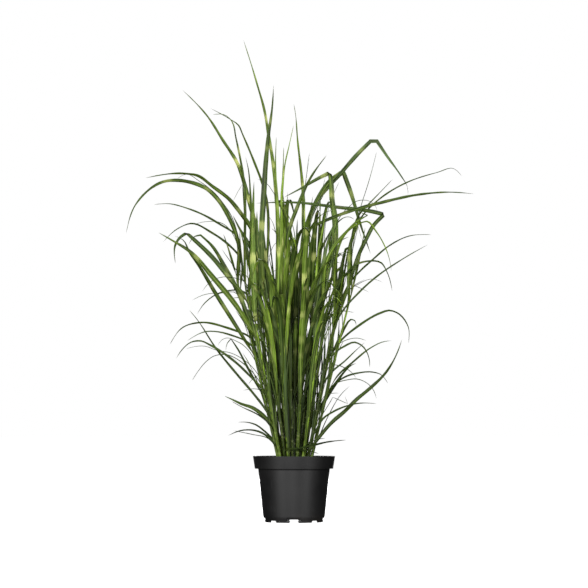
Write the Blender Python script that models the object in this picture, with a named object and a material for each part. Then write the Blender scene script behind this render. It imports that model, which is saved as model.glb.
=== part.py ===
"""A clump of zebra-banded ornamental grass in a round black nursery pot, 1.08 m tall.

Metres, +Z up. The origin is on the floor at the pot's axis, and the side shown in front faces -Y.
"""

import math
import random

import bmesh
import bpy
from mathutils import Matrix, Vector
from mathutils.bvhtree import BVHTree

CM = 0.01
GAP = 0.0003

# Pot: a 3-litre round container
POT_HEIGHT = 0.152
RIM_TOP_RADIUS = 0.095
RIM_LOW_RADIUS = 0.0905
RIM_BAND = 0.029
BODY_TOP_RADIUS = 0.0828
HEEL_RADIUS = 0.0713
HEEL_HEIGHT = 0.0145
WAIST_RADIUS = 0.0685
WAIST_HEIGHT = 0.008
FOOT_RADIUS = 0.0673
FLOOR_HEIGHT = 0.007
WALL = 0.002
ROUND_SIDES = 36

# Drains: four tall notches in the foot, each under a wide slot that opens the corner of the
# floor, and between them four low notches
TALL_NOTCH = (0.0063, 0.0108, 0.008)
LOW_NOTCH = (0.0078, 0.0098, 0.0042)
NOTCH_DEPTH = 0.008
QUARTER = math.radians(90)
SLOT_HALF = 0.0165
SLOT_LOW = 0.0045
SLOT_TOP = 0.0092
SLOT_INNER_RADIUS = 0.057
SLOT_OUTER_RADIUS = 0.072

# Soil: it fills the pot to a little below the rim
SOIL_TOP = 0.129
SOIL_CROWN = 0.002
POCKET_DEPTH = 0.016

# Clump: stems fan out from a point below the soil
SHOOTS = 36
CROWN_RADIUS = 0.037
FAN_DEPTH = 0.150
STEM_SIDES = 5
STEM_LOW_RADIUS = 0.0031
STEM_TIP_RADIUS = 0.0014
STEM_MIDDLE = 0.30
STEM_LOWEST_TOP = 0.40
STEM_HIGHEST_TOP = 0.60
NODE_STEP = 0.016
JOINT_SIDE = 0.6
MOST_LEAVES = 4
LEAST_LEAVES = 3

# Leaves: a blade has two edges and a keel under the midrib
ROOT_WIDTH = 0.55
WIDEST_AT = 0.42
KEEL = 0.16
LEAST_KEEL = 0.0011
TIP_WIDTH = 0.0007
CLEARANCE = 0.0007
CREASE_ANGLE = math.radians(75)
STEEPEST_REACH = 0.9
MOST_REACH = 0.12
VIEW_DISTANCE = 6.0
VIEW_HEIGHT = 0.224
DEPTH_TRIES = (1.0, 0.6, 1.4, 0.2, 1.7, -0.3)
HEADING_TRIES = (0, 14, -14, 28, -28, 42, -42, 60, -60, 80, -80)
SIDE_SHARE = 0.3

# The outline that arched leaves keep to as seen from in front, in centimetres: up, half width;
# and how far they reach to the front and the back.
OUTLINE = ((15, 5.5), (28, 9), (42, 13.5), (51, 15.3), (62, 14.8), (70, 13), (78, 10.3))
MOST_DEPTH = 0.378

# Leaf routes as seen from in front, in centimetres: widest width, turn of the face towards the
# front at root and tip in degrees, then points (across, up). A close pair of points is a crease.
CREST_LEAVES = (
    (0.9, 75, 55, (-4.0, 74), (-4.9, 83.5), (-5.8, 89), (-7, 96), (-8.4, 101), (-10, 106.4),
     (-11.8, 112)),
    (1.2, 85, 60, (-7.5, 68), (-7.2, 73), (-6.5, 84), (-5.9, 90), (-5.1, 96), (-4.75, 101.5)),
    (0.9, 80, 50, (2.2, 68), (2.1, 76), (0.8, 89), (0.3, 95), (-0.05, 97)),
    (0.7, 70, 60, (-2.8, 75), (-2.0, 83.5), (-1.2, 87), (-0.1, 92)),
    (0.7, 60, 50, (-7.2, 78), (-9, 82.8), (-12, 90), (-12.9, 92), (-15, 93.5), (-19.5, 96)),
    (0.7, 60, 50, (-12.1, 82), (-13.5, 89), (-14.5, 93), (-15.8, 94.3), (-19, 94.5)),
    (1.0, 80, 50, (-9, 69), (-10.5, 74.5), (-13.3, 83.4), (-16.6, 88.6), (-19.9, 93.8),
     (-26, 100.3)),
    (0.6, 70, 60, (-10.1, 75.5), (-10.7, 82.2), (-11.3, 84.7)),
    (0.9, 65, 60, (-1.5, 66), (0.8, 73), (4, 80), (7.6, 85)),
    (1.3, 85, 70, (9.4, 60), (9.4, 71), (8.9, 74), (8.6, 79), (8.3, 80.9), (6, 79.8), (2, 77.5),
     (-2.3, 75.2)),
    (1.3, 75, 60, (2.5, 66), (5.5, 74.5), (8.5, 79), (10.9, 80.8), (11.6, 80.7), (13.2, 76.3),
     (15.5, 68.7), (17.8, 62)),
    (1.4, -90, 150, (5.5, 74), (10.9, 80.8), (15, 85.5), (17.8, 88.3), (19.3, 88.3), (21.5, 85),
     (25, 80), (26.3, 77.8), (26.5, 75.7)),
    (0.5, 55, 50, (16, 72.3), (18, 74.3), (22.9, 79.4)),
    (0.5, 55, 50, (17, 72.2), (20.9, 75.6), (26.3, 78.7), (33.3, 81), (37.2, 81.9), (39.1, 80)),
    (0.9, 55, 50, (4.5, 68.5), (9, 70.5), (14, 72.3), (19.6, 73.8), (29.4, 75.9), (36, 76.4),
     (41.9, 76)),
    (0.9, 65, 75, (13, 55.5), (14.8, 61.3), (16.8, 65.5), (18.3, 68.4), (20.9, 71.2),
     (19, 71.7), (10, 72.9), (0, 74), (-8.9, 73.8)),
    (0.9, 55, 50, (8.5, 62.5), (12, 67), (14.8, 69.7), (17.1, 71), (14.6, 72)),
    (0.6, 55, 50, (15, 69), (16.9, 69.6), (19.1, 67.2), (20.9, 64.2), (22.1, 61), (22.6, 58)),
    (0.5, 60, 50, (10, 69.2), (12, 70.6), (13, 70.6), (14, 70)),
    (0.6, 70, 50, (5.2, 56), (5.6, 62), (6.6, 67.5), (7.8, 73.4)),
    (0.7, 70, 60, (5.7, 61.5), (7.5, 65.5), (8.9, 68.2)),
    (1.2, 85, 60, (-9.5, 60), (-9.6, 66), (-9.5, 72), (-9.3, 79)),
    (1.1, 80, 55, (-3.6, 66), (-4.1, 77), (-4.3, 82), (-4.1, 89.3)),
    (1.0, 75, 55, (-2.8, 66), (-2.9, 75), (-2.6, 80), (-2.4, 87)),
    (1.2, 80, 60, (1.9, 49.2), (1.6, 59.5), (2.2, 68.4), (2.6, 75)),
    (1.1, 75, 50, (9.4, 44.7), (10.3, 53.6), (11.5, 61), (12, 63.1), (12.7, 63.5), (13.2, 63.1),
     (13.4, 59.6)),
    (0.8, 80, 70, (12.7, 57), (13.5, 65.4), (14.7, 68.4), (15.5, 71)),
    (0.7, 70, 60, (4.3, 53.5), (6.2, 58), (8.3, 61.5), (10, 64.5), (12.8, 66)),
)
LEFT_LEAVES = (
    (1.0, 75, 50, (-13, 65), (-15, 70.3), (-17, 73.8), (-20, 77), (-24, 78.7), (-30.5, 78.8),
     (-36.8, 73.5), (-39.0, 66.8)),
    (1.2, 80, 70, (-8.8, 61), (-10.8, 64.8), (-12.9, 68.4), (-14.2, 71)),
    (1.0, 70, 50, (-10.2, 68.5), (-12, 71), (-15, 74.7), (-19, 77.8), (-22.5, 80.3),
     (-25, 80.7), (-34.6, 79.7)),
    (0.6, 55, 50, (-14, 66.9), (-17, 68.8), (-21, 71.1), (-25, 72.7), (-29, 73.7),
     (-32.6, 73.5)),
    (0.6, 55, 50, (-12.7, 61.5), (-15, 64), (-19, 66.9), (-24, 69.1), (-27, 67.9),
     (-30.4, 64.8)),
    (1.1, 85, 70, (-10.1, 44.7), (-13, 49.4), (-19, 56.8), (-24.3, 62.7), (-28, 65),
     (-31.5, 67)),
    (0.9, 85, 65, (-12.2, 43.3), (-14.2, 46.5), (-18.1, 52.7), (-22.2, 59.5), (-24.2, 62.3),
     (-25.8, 65.3), (-27.7, 66.2)),
    (1.0, 85, 65, (-11.9, 52.7), (-14.2, 55.4), (-19, 61.3), (-24.9, 66.9), (-26.3, 66),
     (-27.3, 64.7), (-27.5, 59.8)),
    (1.0, 85, 65, (-10.1, 46.2), (-13, 53.3), (-16, 58.9), (-19.3, 64.2), (-21.7, 66.4),
     (-23, 66.1), (-24.5, 64.1)),
    (0.5, 55, 50, (-12.3, 53.5), (-16, 53.3), (-18.4, 52.4), (-20.7, 50.6), (-22.5, 48)),
    (0.6, 55, 50, (-11, 43.2), (-13, 44), (-15.6, 44.9), (-21.5, 46.1), (-25.7, 45),
     (-28.8, 40.9)),
    (0.6, 60, 50, (-6.7, 26.1), (-9.7, 30), (-12.7, 33.5), (-18, 40), (-22.7, 47.1),
     (-24.3, 49)),
    (0.6, 60, 50, (-7.5, 31), (-8.8, 32.3), (-13.8, 37.1), (-19.5, 40.9), (-21.5, 41.8),
     (-23.9, 41.5), (-26, 39.7), (-27.3, 37.7)),
    (0.5, 55, 50, (-11, 41.7), (-14.4, 43.1), (-17.4, 43.9), (-20.3, 44), (-24.8, 41.8)),
    (0.6, 60, 50, (-9.3, 33), (-11.2, 36.5), (-12.7, 39.4), (-14.6, 42.3), (-15.5, 41.2),
     (-15.8, 39.4)),
    (0.9, 85, 80, (-5.9, 23.2), (-7.3, 24.7), (-9.7, 26.4), (-12.1, 27.2), (-14.4, 28.3),
     (-16.2, 29.1)),
    (0.5, 60, 50, (-5.6, 19.8), (-7, 21.1), (-8.8, 22.4), (-10.9, 23), (-13, 23)),
    (0.5, 60, 50, (-5.9, 19.5), (-7.3, 20.5), (-9.1, 21.1), (-11.5, 21.2), (-15.3, 19.9)),
)
RIGHT_LEAVES = (
    (0.5, 55, 50, (13.2, 55.7), (15.6, 58.3), (18.6, 61), (21.5, 63.5), (26.8, 66.2),
     (31.9, 66.5)),
    (0.5, 55, 50, (10.8, 48), (15, 53), (18.6, 56.3), (25, 60.7), (31.1, 64.2)),
    (0.6, 55, 50, (12.5, 57.8), (14, 59.3), (16.8, 60.3), (20.3, 59.9), (21.5, 58),
     (22.8, 53.3)),
    (0.6, 55, 50, (9.3, 40), (10.5, 41.5), (15.2, 45.5), (20.3, 48.4), (22, 48.9),
     (23.8, 48.4), (26.5, 45), (26.5, 41.2)),
    (0.7, 70, 60, (9.6, 40.4), (10.8, 43), (12, 45.3), (13.2, 46.8), (14.1, 46.5),
     (14.4, 45.3)),
    (0.5, 55, 50, (9.3, 38.9), (11.7, 40.6), (14.1, 41.5), (15.5, 40.9), (17.5, 37.1),
     (17.5, 35.7)),
    (0.5, 55, 50, (9.9, 33.5), (13.5, 36.8), (17.9, 40.3), (20.3, 41.5), (22.6, 41.9)),
    (0.5, 55, 50, (8.9, 34.8), (11.7, 37.1), (14.1, 39.4), (16.4, 41.5)),
    (0.8, 80, 70, (7.6, 28.8), (9.9, 32.3), (11.7, 34.7), (13.5, 36.3), (14.4, 36.6)),
    (0.5, 55, 50, (9.6, 32), (12.3, 33.7), (14.9, 34.4), (18.2, 34.6), (20, 34.1),
     (21.8, 31.9)),
    (0.9, 70, 50, (5.8, 19.5), (9, 23.2), (11.7, 25.5), (14.4, 28.2), (17.3, 30.6),
     (21.2, 34.4), (24.4, 40.3), (25, 42.2)),
    (0.5, 55, 50, (5.3, 21.5), (6.7, 23.8), (9, 25.4), (11.7, 26.6), (14.4, 27.3),
     (19.1, 27.3)),
    (0.5, 55, 50, (-1, 16.5), (2.2, 17.1), (7.5, 18.4), (12.1, 18.9)),
)

LEAF_GREEN = (0.10, 0.19, 0.025)
POT_BLACK = (0.035, 0.035, 0.036)
SOIL_BROWN = (0.045, 0.028, 0.017)


def clear_scene():
    for old in list(bpy.data.objects):
        bpy.data.objects.remove(old)


def principled(name, colour, roughness):
    material = bpy.data.materials.new(name)
    material.use_nodes = True
    shader = material.node_tree.nodes["Principled BSDF"]
    shader.inputs["Base Color"].default_value = (*colour, 1)
    shader.inputs["Roughness"].default_value = roughness
    return material


def add_object(name, bm, material, smooth=True):
    bmesh.ops.recalc_face_normals(bm, faces=bm.faces)
    mesh = bpy.data.meshes.new(name)
    bm.to_mesh(mesh)
    bm.free()
    mesh.materials.append(material)
    if smooth:
        mesh.shade_smooth()
        mesh.set_sharp_from_angle(angle=math.radians(35))
    made = bpy.data.objects.new(name, mesh)
    bpy.context.scene.collection.objects.link(made)
    return made


def hide_cutter(cutter):
    cutter.hide_render = True
    cutter.display_type = "WIRE"


def boolean(target, operation, other=None, collection=None):
    modifier = target.modifiers.new(operation.lower(), "BOOLEAN")
    modifier.operation = operation
    modifier.solver = "EXACT"
    if collection:
        modifier.operand_type = "COLLECTION"
        modifier.collection = collection
    else:
        modifier.object = other


def turned(profile, sides):
    """A closed solid of revolution from (radius, height) points that start and end on the axis."""
    bm = bmesh.new()
    verts = [bm.verts.new((radius, 0, height)) for radius, height in profile]
    edges = [bm.edges.new(pair) for pair in zip(verts, verts[1:])]
    bmesh.ops.spin(
        bm, geom=verts + edges, cent=(0, 0, 0), axis=(0, 0, 1), angle=math.tau, steps=sides
    )
    bmesh.ops.remove_doubles(bm, verts=bm.verts, dist=0.00001)
    return bm


def add_prism(bm, outline, inner, outer, angle):
    """A solid of this (across, up) outline, pushed out radially from inner to outer radius."""
    verts = [bm.verts.new((inner, across, up)) for across, up in outline]
    face = bm.faces.new(verts)
    pushed = bmesh.ops.extrude_face_region(bm, geom=[face])["geom"]
    moved = [item for item in pushed if isinstance(item, bmesh.types.BMVert)]
    bmesh.ops.translate(bm, verts=moved, vec=(outer - inner, 0, 0))
    bmesh.ops.rotate(bm, verts=verts + moved, matrix=Matrix.Rotation(angle, 3, "Z"))


def notch_outline(top_half, low_half, height):
    """A notch open at the bottom, narrower at the top."""
    return (
        (-low_half, -FLOOR_HEIGHT),
        (low_half, -FLOOR_HEIGHT),
        (low_half, 0),
        (top_half, height),
        (-top_half, height),
        (-low_half, 0),
    )


def build_pot():
    ledge = POT_HEIGHT - RIM_BAND
    floor_top = FLOOR_HEIGHT + WALL
    profile = (
        (0, FLOOR_HEIGHT),
        (WAIST_RADIUS - WALL, FLOOR_HEIGHT),
        (FOOT_RADIUS - WALL, 0),
        (FOOT_RADIUS, 0),
        (WAIST_RADIUS, WAIST_HEIGHT),
        (HEEL_RADIUS, HEEL_HEIGHT),
        (BODY_TOP_RADIUS, ledge),
        (RIM_LOW_RADIUS, ledge),
        (RIM_TOP_RADIUS, POT_HEIGHT),
        (RIM_TOP_RADIUS - WALL, POT_HEIGHT),
        (RIM_LOW_RADIUS - WALL, ledge + WALL),
        (BODY_TOP_RADIUS - WALL, ledge + WALL),
        (HEEL_RADIUS - WALL, HEEL_HEIGHT),
        (WAIST_RADIUS - WALL, floor_top),
        (0, floor_top),
    )
    pot = add_object("pot", turned(profile, ROUND_SIDES), principled("pot", POT_BLACK, 0.55))
    slot = (
        (-SLOT_HALF, SLOT_LOW),
        (SLOT_HALF, SLOT_LOW),
        (SLOT_HALF, SLOT_TOP),
        (-SLOT_HALF, SLOT_TOP),
    )
    notches = bmesh.new()
    slots = bmesh.new()
    inner, outer = SLOT_OUTER_RADIUS - NOTCH_DEPTH, SLOT_OUTER_RADIUS
    for number in range(4):
        angle = number * QUARTER
        add_prism(notches, notch_outline(*TALL_NOTCH), inner, outer, angle)
        add_prism(notches, notch_outline(*LOW_NOTCH), inner, outer, angle + QUARTER / 2)
        add_prism(slots, slot, SLOT_INNER_RADIUS, SLOT_OUTER_RADIUS, angle)
    for name, bm in (("notch_cutter", notches), ("slot_cutter", slots)):
        cutter = add_object(name, bm, pot.data.materials[0], smooth=False)
        hide_cutter(cutter)
        boolean(pot, "DIFFERENCE", cutter)
    return pot


def stem_point(shoot, height):
    """Where this shoot's stem is at a height: a straight fan line plus a slight outward bow."""
    spread = 1 + (height - SOIL_TOP) / FAN_DEPTH * shoot["lean"]
    bow = shoot["bow"] * max(height - SOIL_TOP, 0) ** 2
    x = shoot["x"] * spread + bow * math.cos(shoot["heading"])
    y = shoot["y"] * spread + bow * math.sin(shoot["heading"])
    return Vector((x, y, height))


def plan_shoots(dice):
    """Bases spread over the crown like the seeds of a sunflower."""
    shoots = []
    golden = math.radians(137.508)
    for number in range(SHOOTS):
        radius = CROWN_RADIUS * math.sqrt((number + 0.5) / SHOOTS)
        heading = number * golden
        shoots.append(
            {
                "name": f"shoot_{number + 1:02d}",
                "x": radius * math.cos(heading),
                "y": radius * math.sin(heading),
                "heading": heading,
                "lean": dice.uniform(0.96, 1.04),
                "bow": dice.uniform(0.0, 0.03),
                "top": dice.uniform(STEM_LOWEST_TOP, STEM_HIGHEST_TOP),
                "leaves": [],
            }
        )
    return shoots


def tube_mesh(points, radii, sides):
    verts = []
    for point, radius in zip(points, radii):
        for side in range(sides):
            angle = math.tau * side / sides
            verts.append(point + Vector((math.cos(angle), math.sin(angle), 0)) * radius)
    faces = [tuple(range(sides))[::-1], tuple(range(len(verts) - sides, len(verts)))]
    for ring in range(len(points) - 1):
        for side in range(sides):
            after = (side + 1) % sides
            low, high = ring * sides, (ring + 1) * sides
            faces.append((low + side, low + after, high + after, high + side))
    return verts, faces


def stem_radius(shoot, height):
    share = (height - SOIL_TOP) / (shoot["top"] - SOIL_TOP)
    return STEM_LOW_RADIUS + (STEM_TIP_RADIUS - STEM_LOW_RADIUS) * max(share, 0)


def stem_mesh(shoot):
    heights = (SOIL_TOP - POCKET_DEPTH + GAP, STEM_MIDDLE, shoot["top"])
    points = [stem_point(shoot, height) for height in heights]
    radii = [stem_radius(shoot, height) for height in heights]
    return tube_mesh(points, radii, STEM_SIDES)


def joint_point(shoot, height, towards):
    """Where a blade starts: inside the stem, on the side that the blade leaves by."""
    stem = stem_point(shoot, height)
    side = Vector((towards.x - stem.x, towards.y - stem.y, 0)).normalized()
    return stem + side * stem_radius(shoot, height) * JOINT_SIDE


def pocket_mesh(shoot):
    """The hole in the soil that a stem stands in, a gap wider than the stem all round."""
    heights = (SOIL_TOP - POCKET_DEPTH, SOIL_TOP + 4 * SOIL_CROWN)
    points = [stem_point(shoot, height) for height in heights]
    return tube_mesh(points, [STEM_LOW_RADIUS + 2 * GAP] * 2, STEM_SIDES)


def distances_along(points):
    """Each point's share of the way from the first point to the last."""
    walked = [0.0]
    for before, after in zip(points, points[1:]):
        walked.append(walked[-1] + (after - before).length)
    return [distance / walked[-1] for distance in walked]


def blade_width(share, wide):
    if share < WIDEST_AT:
        part = math.sin(share / WIDEST_AT * math.pi / 2)
        return wide * (ROOT_WIDTH + (1 - ROOT_WIDTH) * part)
    part = (share - WIDEST_AT) / (1 - WIDEST_AT)
    return wide * (1 - part**1.8) + TIP_WIDTH * part


def depth_side(route):
    """Across a leaf that is known from the front, before it turns its face there: the depth."""
    return Vector((0, -1 if route[-1].x < route[0].x else 1, 0))


def level_side(route):
    """Across a leaf that bends over: level, so that its face is on top."""
    away = route[-1] - route[0]
    return Vector((-away.y, away.x, 0)).normalized()


def blade_mesh(route, side, wide, turns, grown=0.0):
    """A blade along the route: edge, edge and keel at each point, closed to a point at the tip.

    Past a crease the blade shows its other face."""
    shares = distances_along(route)
    hand = -1 if side.y < 0 else 1
    verts = []
    for number, point in enumerate(route[:-1]):
        before = route[max(number - 1, 0)]
        tangent = (route[number + 1] - before).normalized()
        flat = (side - tangent * side.dot(tangent)).normalized()
        turn = math.radians(turns[0] + (turns[1] - turns[0]) * shares[number])
        if number and (point - before).angle(route[number + 1] - point) > CREASE_ANGLE:
            hand = -hand
            turn = 0
        flat.rotate(Matrix.Rotation(turn * hand, 3, tangent))
        upper = tangent.cross(flat)
        width = blade_width(shares[number], wide)
        keel = max(KEEL * width, LEAST_KEEL)
        half = width / 2 + grown
        verts.append(point - flat * half + upper * grown)
        verts.append(point + flat * half + upper * grown)
        verts.append(point - upper * (keel + grown))
    verts.append(route[-1])
    tip = len(verts) - 1
    faces = [(0, 1, 2)]
    for ring in range(len(route) - 2):
        low, high = 3 * ring, 3 * ring + 3
        for corner in range(3):
            after = (corner + 1) % 3
            faces.append((low + corner, high + corner, high + after))
            faces.append((low + corner, high + after, low + after))
    last = tip - 3
    for corner in range(3):
        faces.append((last + corner, tip, last + (corner + 1) % 3))
    return verts, faces


def on_sight_line(across, up, depth):
    """The place at this depth that covers the point (across, up) as seen from in front."""
    nearer = 1 + depth / VIEW_DISTANCE
    return Vector((across * nearer, depth, VIEW_HEIGHT + (up - VIEW_HEIGHT) * nearer))


def traced_route(leaf, shoot, depth_share):
    """The leaf's seen route, given depth on the shoot's own side of the clump, from its stem."""
    seen = [(across * CM, up * CM) for across, up in leaf[3:]]
    away = abs(seen[0][0] - stem_point(shoot, seen[0][1]).x)
    highest = shoot["top"] - 0.01 - NODE_STEP * len(shoot["leaves"])
    joint = min(highest, seen[0][1] - max(0.025, 2.5 * away))
    joint = max(joint, SOIL_TOP + 0.012)
    root = stem_point(shoot, joint)
    spread = abs(seen[-1][0] - root.x)
    slope = abs(math.tan(shoot["heading"]))
    reach = min(spread * min(slope, STEEPEST_REACH), MOST_REACH) * depth_share
    if root.y < 0:
        reach = -reach
    flat_route = [Vector((root.x, 0, root.z))] + [Vector((x, 0, z)) for x, z in seen]
    start_depth = stem_point(shoot, seen[0][1]).y
    route = [root]
    for share, (x, z) in zip(distances_along(flat_route)[1:], seen):
        depth = root.y + (start_depth - root.y) * min(share * 3, 1) + reach * share**1.4
        route.append(on_sight_line(x, z, depth))
    route[0] = joint_point(shoot, joint, route[1])
    return route


def arched_route(shoot, joint, heading, length, rise, droop, points=6):
    """A leaf that leaves its stem steeply and bends over under its own weight."""
    towards = stem_point(shoot, joint) + Vector((math.cos(heading), math.sin(heading), 0))
    route = [joint_point(shoot, joint, towards)]
    step = length / points
    for number in range(points):
        share = (number + 0.5) / points
        angle = math.radians(rise - (rise + droop) * share**1.6)
        flat = math.cos(angle) * step
        move = Vector((math.cos(heading) * flat, math.sin(heading) * flat, math.sin(angle) * step))
        route.append(route[-1] + move)
    return route


def stays_in_outline(route):
    for point in route:
        nearer = 1 + point.y / VIEW_DISTANCE
        across = abs(point.x) / nearer / CM
        up = (VIEW_HEIGHT + (point.z - VIEW_HEIGHT) / nearer) / CM
        if up > OUTLINE[-1][0] or abs(point.y) > MOST_DEPTH:
            return False
        for (low, narrow), (high, broad) in zip(OUTLINE, OUTLINE[1:]):
            if up < high:
                break
        if across > narrow + (broad - narrow) * max(up - low, 0) / (high - low):
            return False
    return True


def is_clear(shoot, mesh, trees):
    """True when the blade meets nothing but its own stem, which is the first of its shoot's trees."""
    tree = BVHTree.FromPolygons(*mesh)
    for name, grown in trees.items():
        others = grown[1:] if name == shoot["name"] else grown
        if any(tree.overlap(other) for other in others):
            return False
    return True


def meets_itself(mesh):
    """True when two faces that share no corner cross."""
    verts, faces = mesh
    tree = BVHTree.FromPolygons(verts, faces)
    return any(not set(faces[one]) & set(faces[other]) for one, other in tree.overlap(tree))


def place_leaf(shoot, route, side, wide, turns, trees):
    mesh = blade_mesh(route, side, wide, turns)
    if meets_itself(mesh):
        return False
    if not is_clear(shoot, blade_mesh(route, side, wide, turns, CLEARANCE), trees):
        return False
    shoot["leaves"].append(mesh)
    trees[shoot["name"]].append(BVHTree.FromPolygons(*mesh))
    return True


def likely_shoots(leaf, shoots):
    """Shoots from the likeliest to carry this leaf to the least, by where the leaf starts."""
    across, up = leaf[3][0] * CM, leaf[3][1] * CM

    def cost(shoot):
        stem = stem_point(shoot, min(up, shoot["top"]))
        return abs(stem.x - across) + 0.012 * len(shoot["leaves"])

    free = [shoot for shoot in shoots if len(shoot["leaves"]) < MOST_LEAVES]
    return sorted(free, key=cost)


def grow_traced(leaf, shoots, trees):
    for shoot in likely_shoots(leaf, shoots)[:12]:
        for depth_share in DEPTH_TRIES:
            route = traced_route(leaf, shoot, depth_share)
            for side in (depth_side(route), level_side(route)):
                if place_leaf(shoot, route, side, leaf[0] * CM, leaf[1:3], trees):
                    return True
    return False


def grow_arched(shoot, dice, trees):
    joint = dice.uniform(0.24, shoot["top"] - 0.02)
    length = dice.uniform(0.28, 0.48)
    rise = dice.uniform(72, 80)
    droop = dice.uniform(-30, 50)
    side = math.copysign(math.pi / 2, math.sin(shoot["heading"]))
    away = (shoot["heading"] - side + math.pi) % math.tau - math.pi
    wide = dice.uniform(0.007, 0.011)
    for offset in HEADING_TRIES:
        tried = side + away * SIDE_SHARE + math.radians(offset)
        route = arched_route(shoot, joint, tried, length, rise, droop)
        if stays_in_outline(route) and place_leaf(shoot, route, level_side(route), wide, (0, 25), trees):
            return True
    return False


def grow_clump():
    dice = random.Random(7)
    shoots = plan_shoots(dice)
    trees = {}
    for shoot in shoots:
        trees[shoot["name"]] = [BVHTree.FromPolygons(*stem_mesh(shoot))]
    for leaf in CREST_LEAVES + LEFT_LEAVES + RIGHT_LEAVES:
        if not grow_traced(leaf, shoots, trees):
            print("no room for the leaf from", leaf[3])
    for shoot in shoots:
        for _ in range(2 * LEAST_LEAVES):
            if len(shoot["leaves"]) >= LEAST_LEAVES:
                break
            grow_arched(shoot, dice, trees)
    return shoots


def mesh_into(bm, mesh):
    verts = [bm.verts.new(place) for place in mesh[0]]
    for face in mesh[1]:
        bm.faces.new([verts[corner] for corner in face])


def build_shoot(shoot, dice):
    shade = dice.uniform(0.8, 1.2)
    material = principled(shoot["name"], [value * shade for value in LEAF_GREEN], 0.5)
    bm = bmesh.new()
    mesh_into(bm, stem_mesh(shoot))
    stem = add_object(shoot["name"], bm, material)
    leaves = bpy.data.collections.new(shoot["name"] + "_leaves")
    bpy.context.scene.collection.children.link(leaves)
    for number, mesh in enumerate(shoot["leaves"]):
        bm = bmesh.new()
        mesh_into(bm, mesh)
        leaf = add_object(f"{shoot['name']}_leaf_{number + 1}", bm, material)
        bpy.context.scene.collection.objects.unlink(leaf)
        leaves.objects.link(leaf)
        hide_cutter(leaf)
    boolean(stem, "UNION", collection=leaves)


def build_soil(shoots):
    ledge = POT_HEIGHT - RIM_BAND + WALL + GAP
    floor = FLOOR_HEIGHT + WALL + GAP
    band_slope = (RIM_TOP_RADIUS - RIM_LOW_RADIUS) / RIM_BAND
    profile = (
        (0, floor),
        (WAIST_RADIUS - WALL - GAP, floor),
        (HEEL_RADIUS - WALL - GAP, HEEL_HEIGHT),
        (BODY_TOP_RADIUS - WALL - GAP, ledge),
        (RIM_LOW_RADIUS - WALL - GAP, ledge),
        (RIM_LOW_RADIUS - WALL - GAP + band_slope * (SOIL_TOP - ledge), SOIL_TOP - SOIL_CROWN),
        (0.6 * BODY_TOP_RADIUS, SOIL_TOP),
        (0, SOIL_TOP + SOIL_CROWN),
    )
    material = principled("potting_soil", SOIL_BROWN, 0.95)
    soil = add_object("potting_soil", turned(profile, ROUND_SIDES), material, smooth=False)
    bm = bmesh.new()
    for shoot in shoots:
        mesh_into(bm, pocket_mesh(shoot))
    pockets = add_object("pocket_cutter", bm, material, smooth=False)
    hide_cutter(pockets)
    boolean(soil, "DIFFERENCE", pockets)


def main():
    clear_scene()
    build_pot()
    shoots = grow_clump()
    build_soil(shoots)
    dice = random.Random(11)
    for shoot in shoots:
        build_shoot(shoot, dice)
    print(len(shoots), "shoots,", sum(len(shoot["leaves"]) for shoot in shoots), "leaves")


main()
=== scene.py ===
import math
import random

import bmesh
import bpy
import numpy as np
from mathutils import Matrix, Vector
from mathutils.bvhtree import BVHTree


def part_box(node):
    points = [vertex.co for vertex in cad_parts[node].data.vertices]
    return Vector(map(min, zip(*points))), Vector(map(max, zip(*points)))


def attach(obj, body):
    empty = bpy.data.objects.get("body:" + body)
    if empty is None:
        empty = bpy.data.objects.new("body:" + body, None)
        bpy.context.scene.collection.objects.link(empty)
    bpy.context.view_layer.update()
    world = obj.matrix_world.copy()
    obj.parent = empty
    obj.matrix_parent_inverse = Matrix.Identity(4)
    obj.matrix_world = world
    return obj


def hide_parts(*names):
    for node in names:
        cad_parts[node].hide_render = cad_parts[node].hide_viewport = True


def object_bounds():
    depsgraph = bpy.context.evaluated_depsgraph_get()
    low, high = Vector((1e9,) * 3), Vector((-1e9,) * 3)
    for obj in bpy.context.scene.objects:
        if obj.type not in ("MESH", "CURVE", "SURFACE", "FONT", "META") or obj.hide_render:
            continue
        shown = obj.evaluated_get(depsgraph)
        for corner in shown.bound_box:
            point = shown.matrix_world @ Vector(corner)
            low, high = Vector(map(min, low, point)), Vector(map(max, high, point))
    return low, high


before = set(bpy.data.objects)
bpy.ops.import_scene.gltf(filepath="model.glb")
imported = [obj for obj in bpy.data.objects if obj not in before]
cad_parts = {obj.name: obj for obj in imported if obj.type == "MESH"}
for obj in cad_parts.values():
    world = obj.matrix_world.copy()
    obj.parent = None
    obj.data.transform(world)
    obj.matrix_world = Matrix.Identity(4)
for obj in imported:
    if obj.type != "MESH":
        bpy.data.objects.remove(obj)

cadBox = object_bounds()
print("frame loaded:", len(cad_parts), "nodes")


def deselectAll():
    if bpy.context.mode != "OBJECT":
        bpy.ops.object.mode_set(mode="OBJECT")
    bpy.ops.object.select_all(action="DESELECT")


def pick(active, *others):
    # these pieces alone are selected, and the first of them is active
    deselectAll()
    for piece in (active, *others):
        piece.select_set(True)
    bpy.context.view_layer.objects.active = active


def newMaterial(name):
    material = bpy.data.materials.new(name)
    material.use_nodes = True
    return material, material.node_tree, material.node_tree.nodes["Principled BSDF"]


def put(tree, kind, sockets=None, **settings):
    # a node with its settings; a socket's value is a number, a colour or another node's output
    made = tree.nodes.new(kind)
    for name, value in settings.items():
        setattr(made, name, value)
    for name, value in (sockets or {}).items():
        if isinstance(value, bpy.types.NodeSocket):
            tree.links.new(value, made.inputs[name])
        else:
            made.inputs[name].default_value = value
    return made


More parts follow.
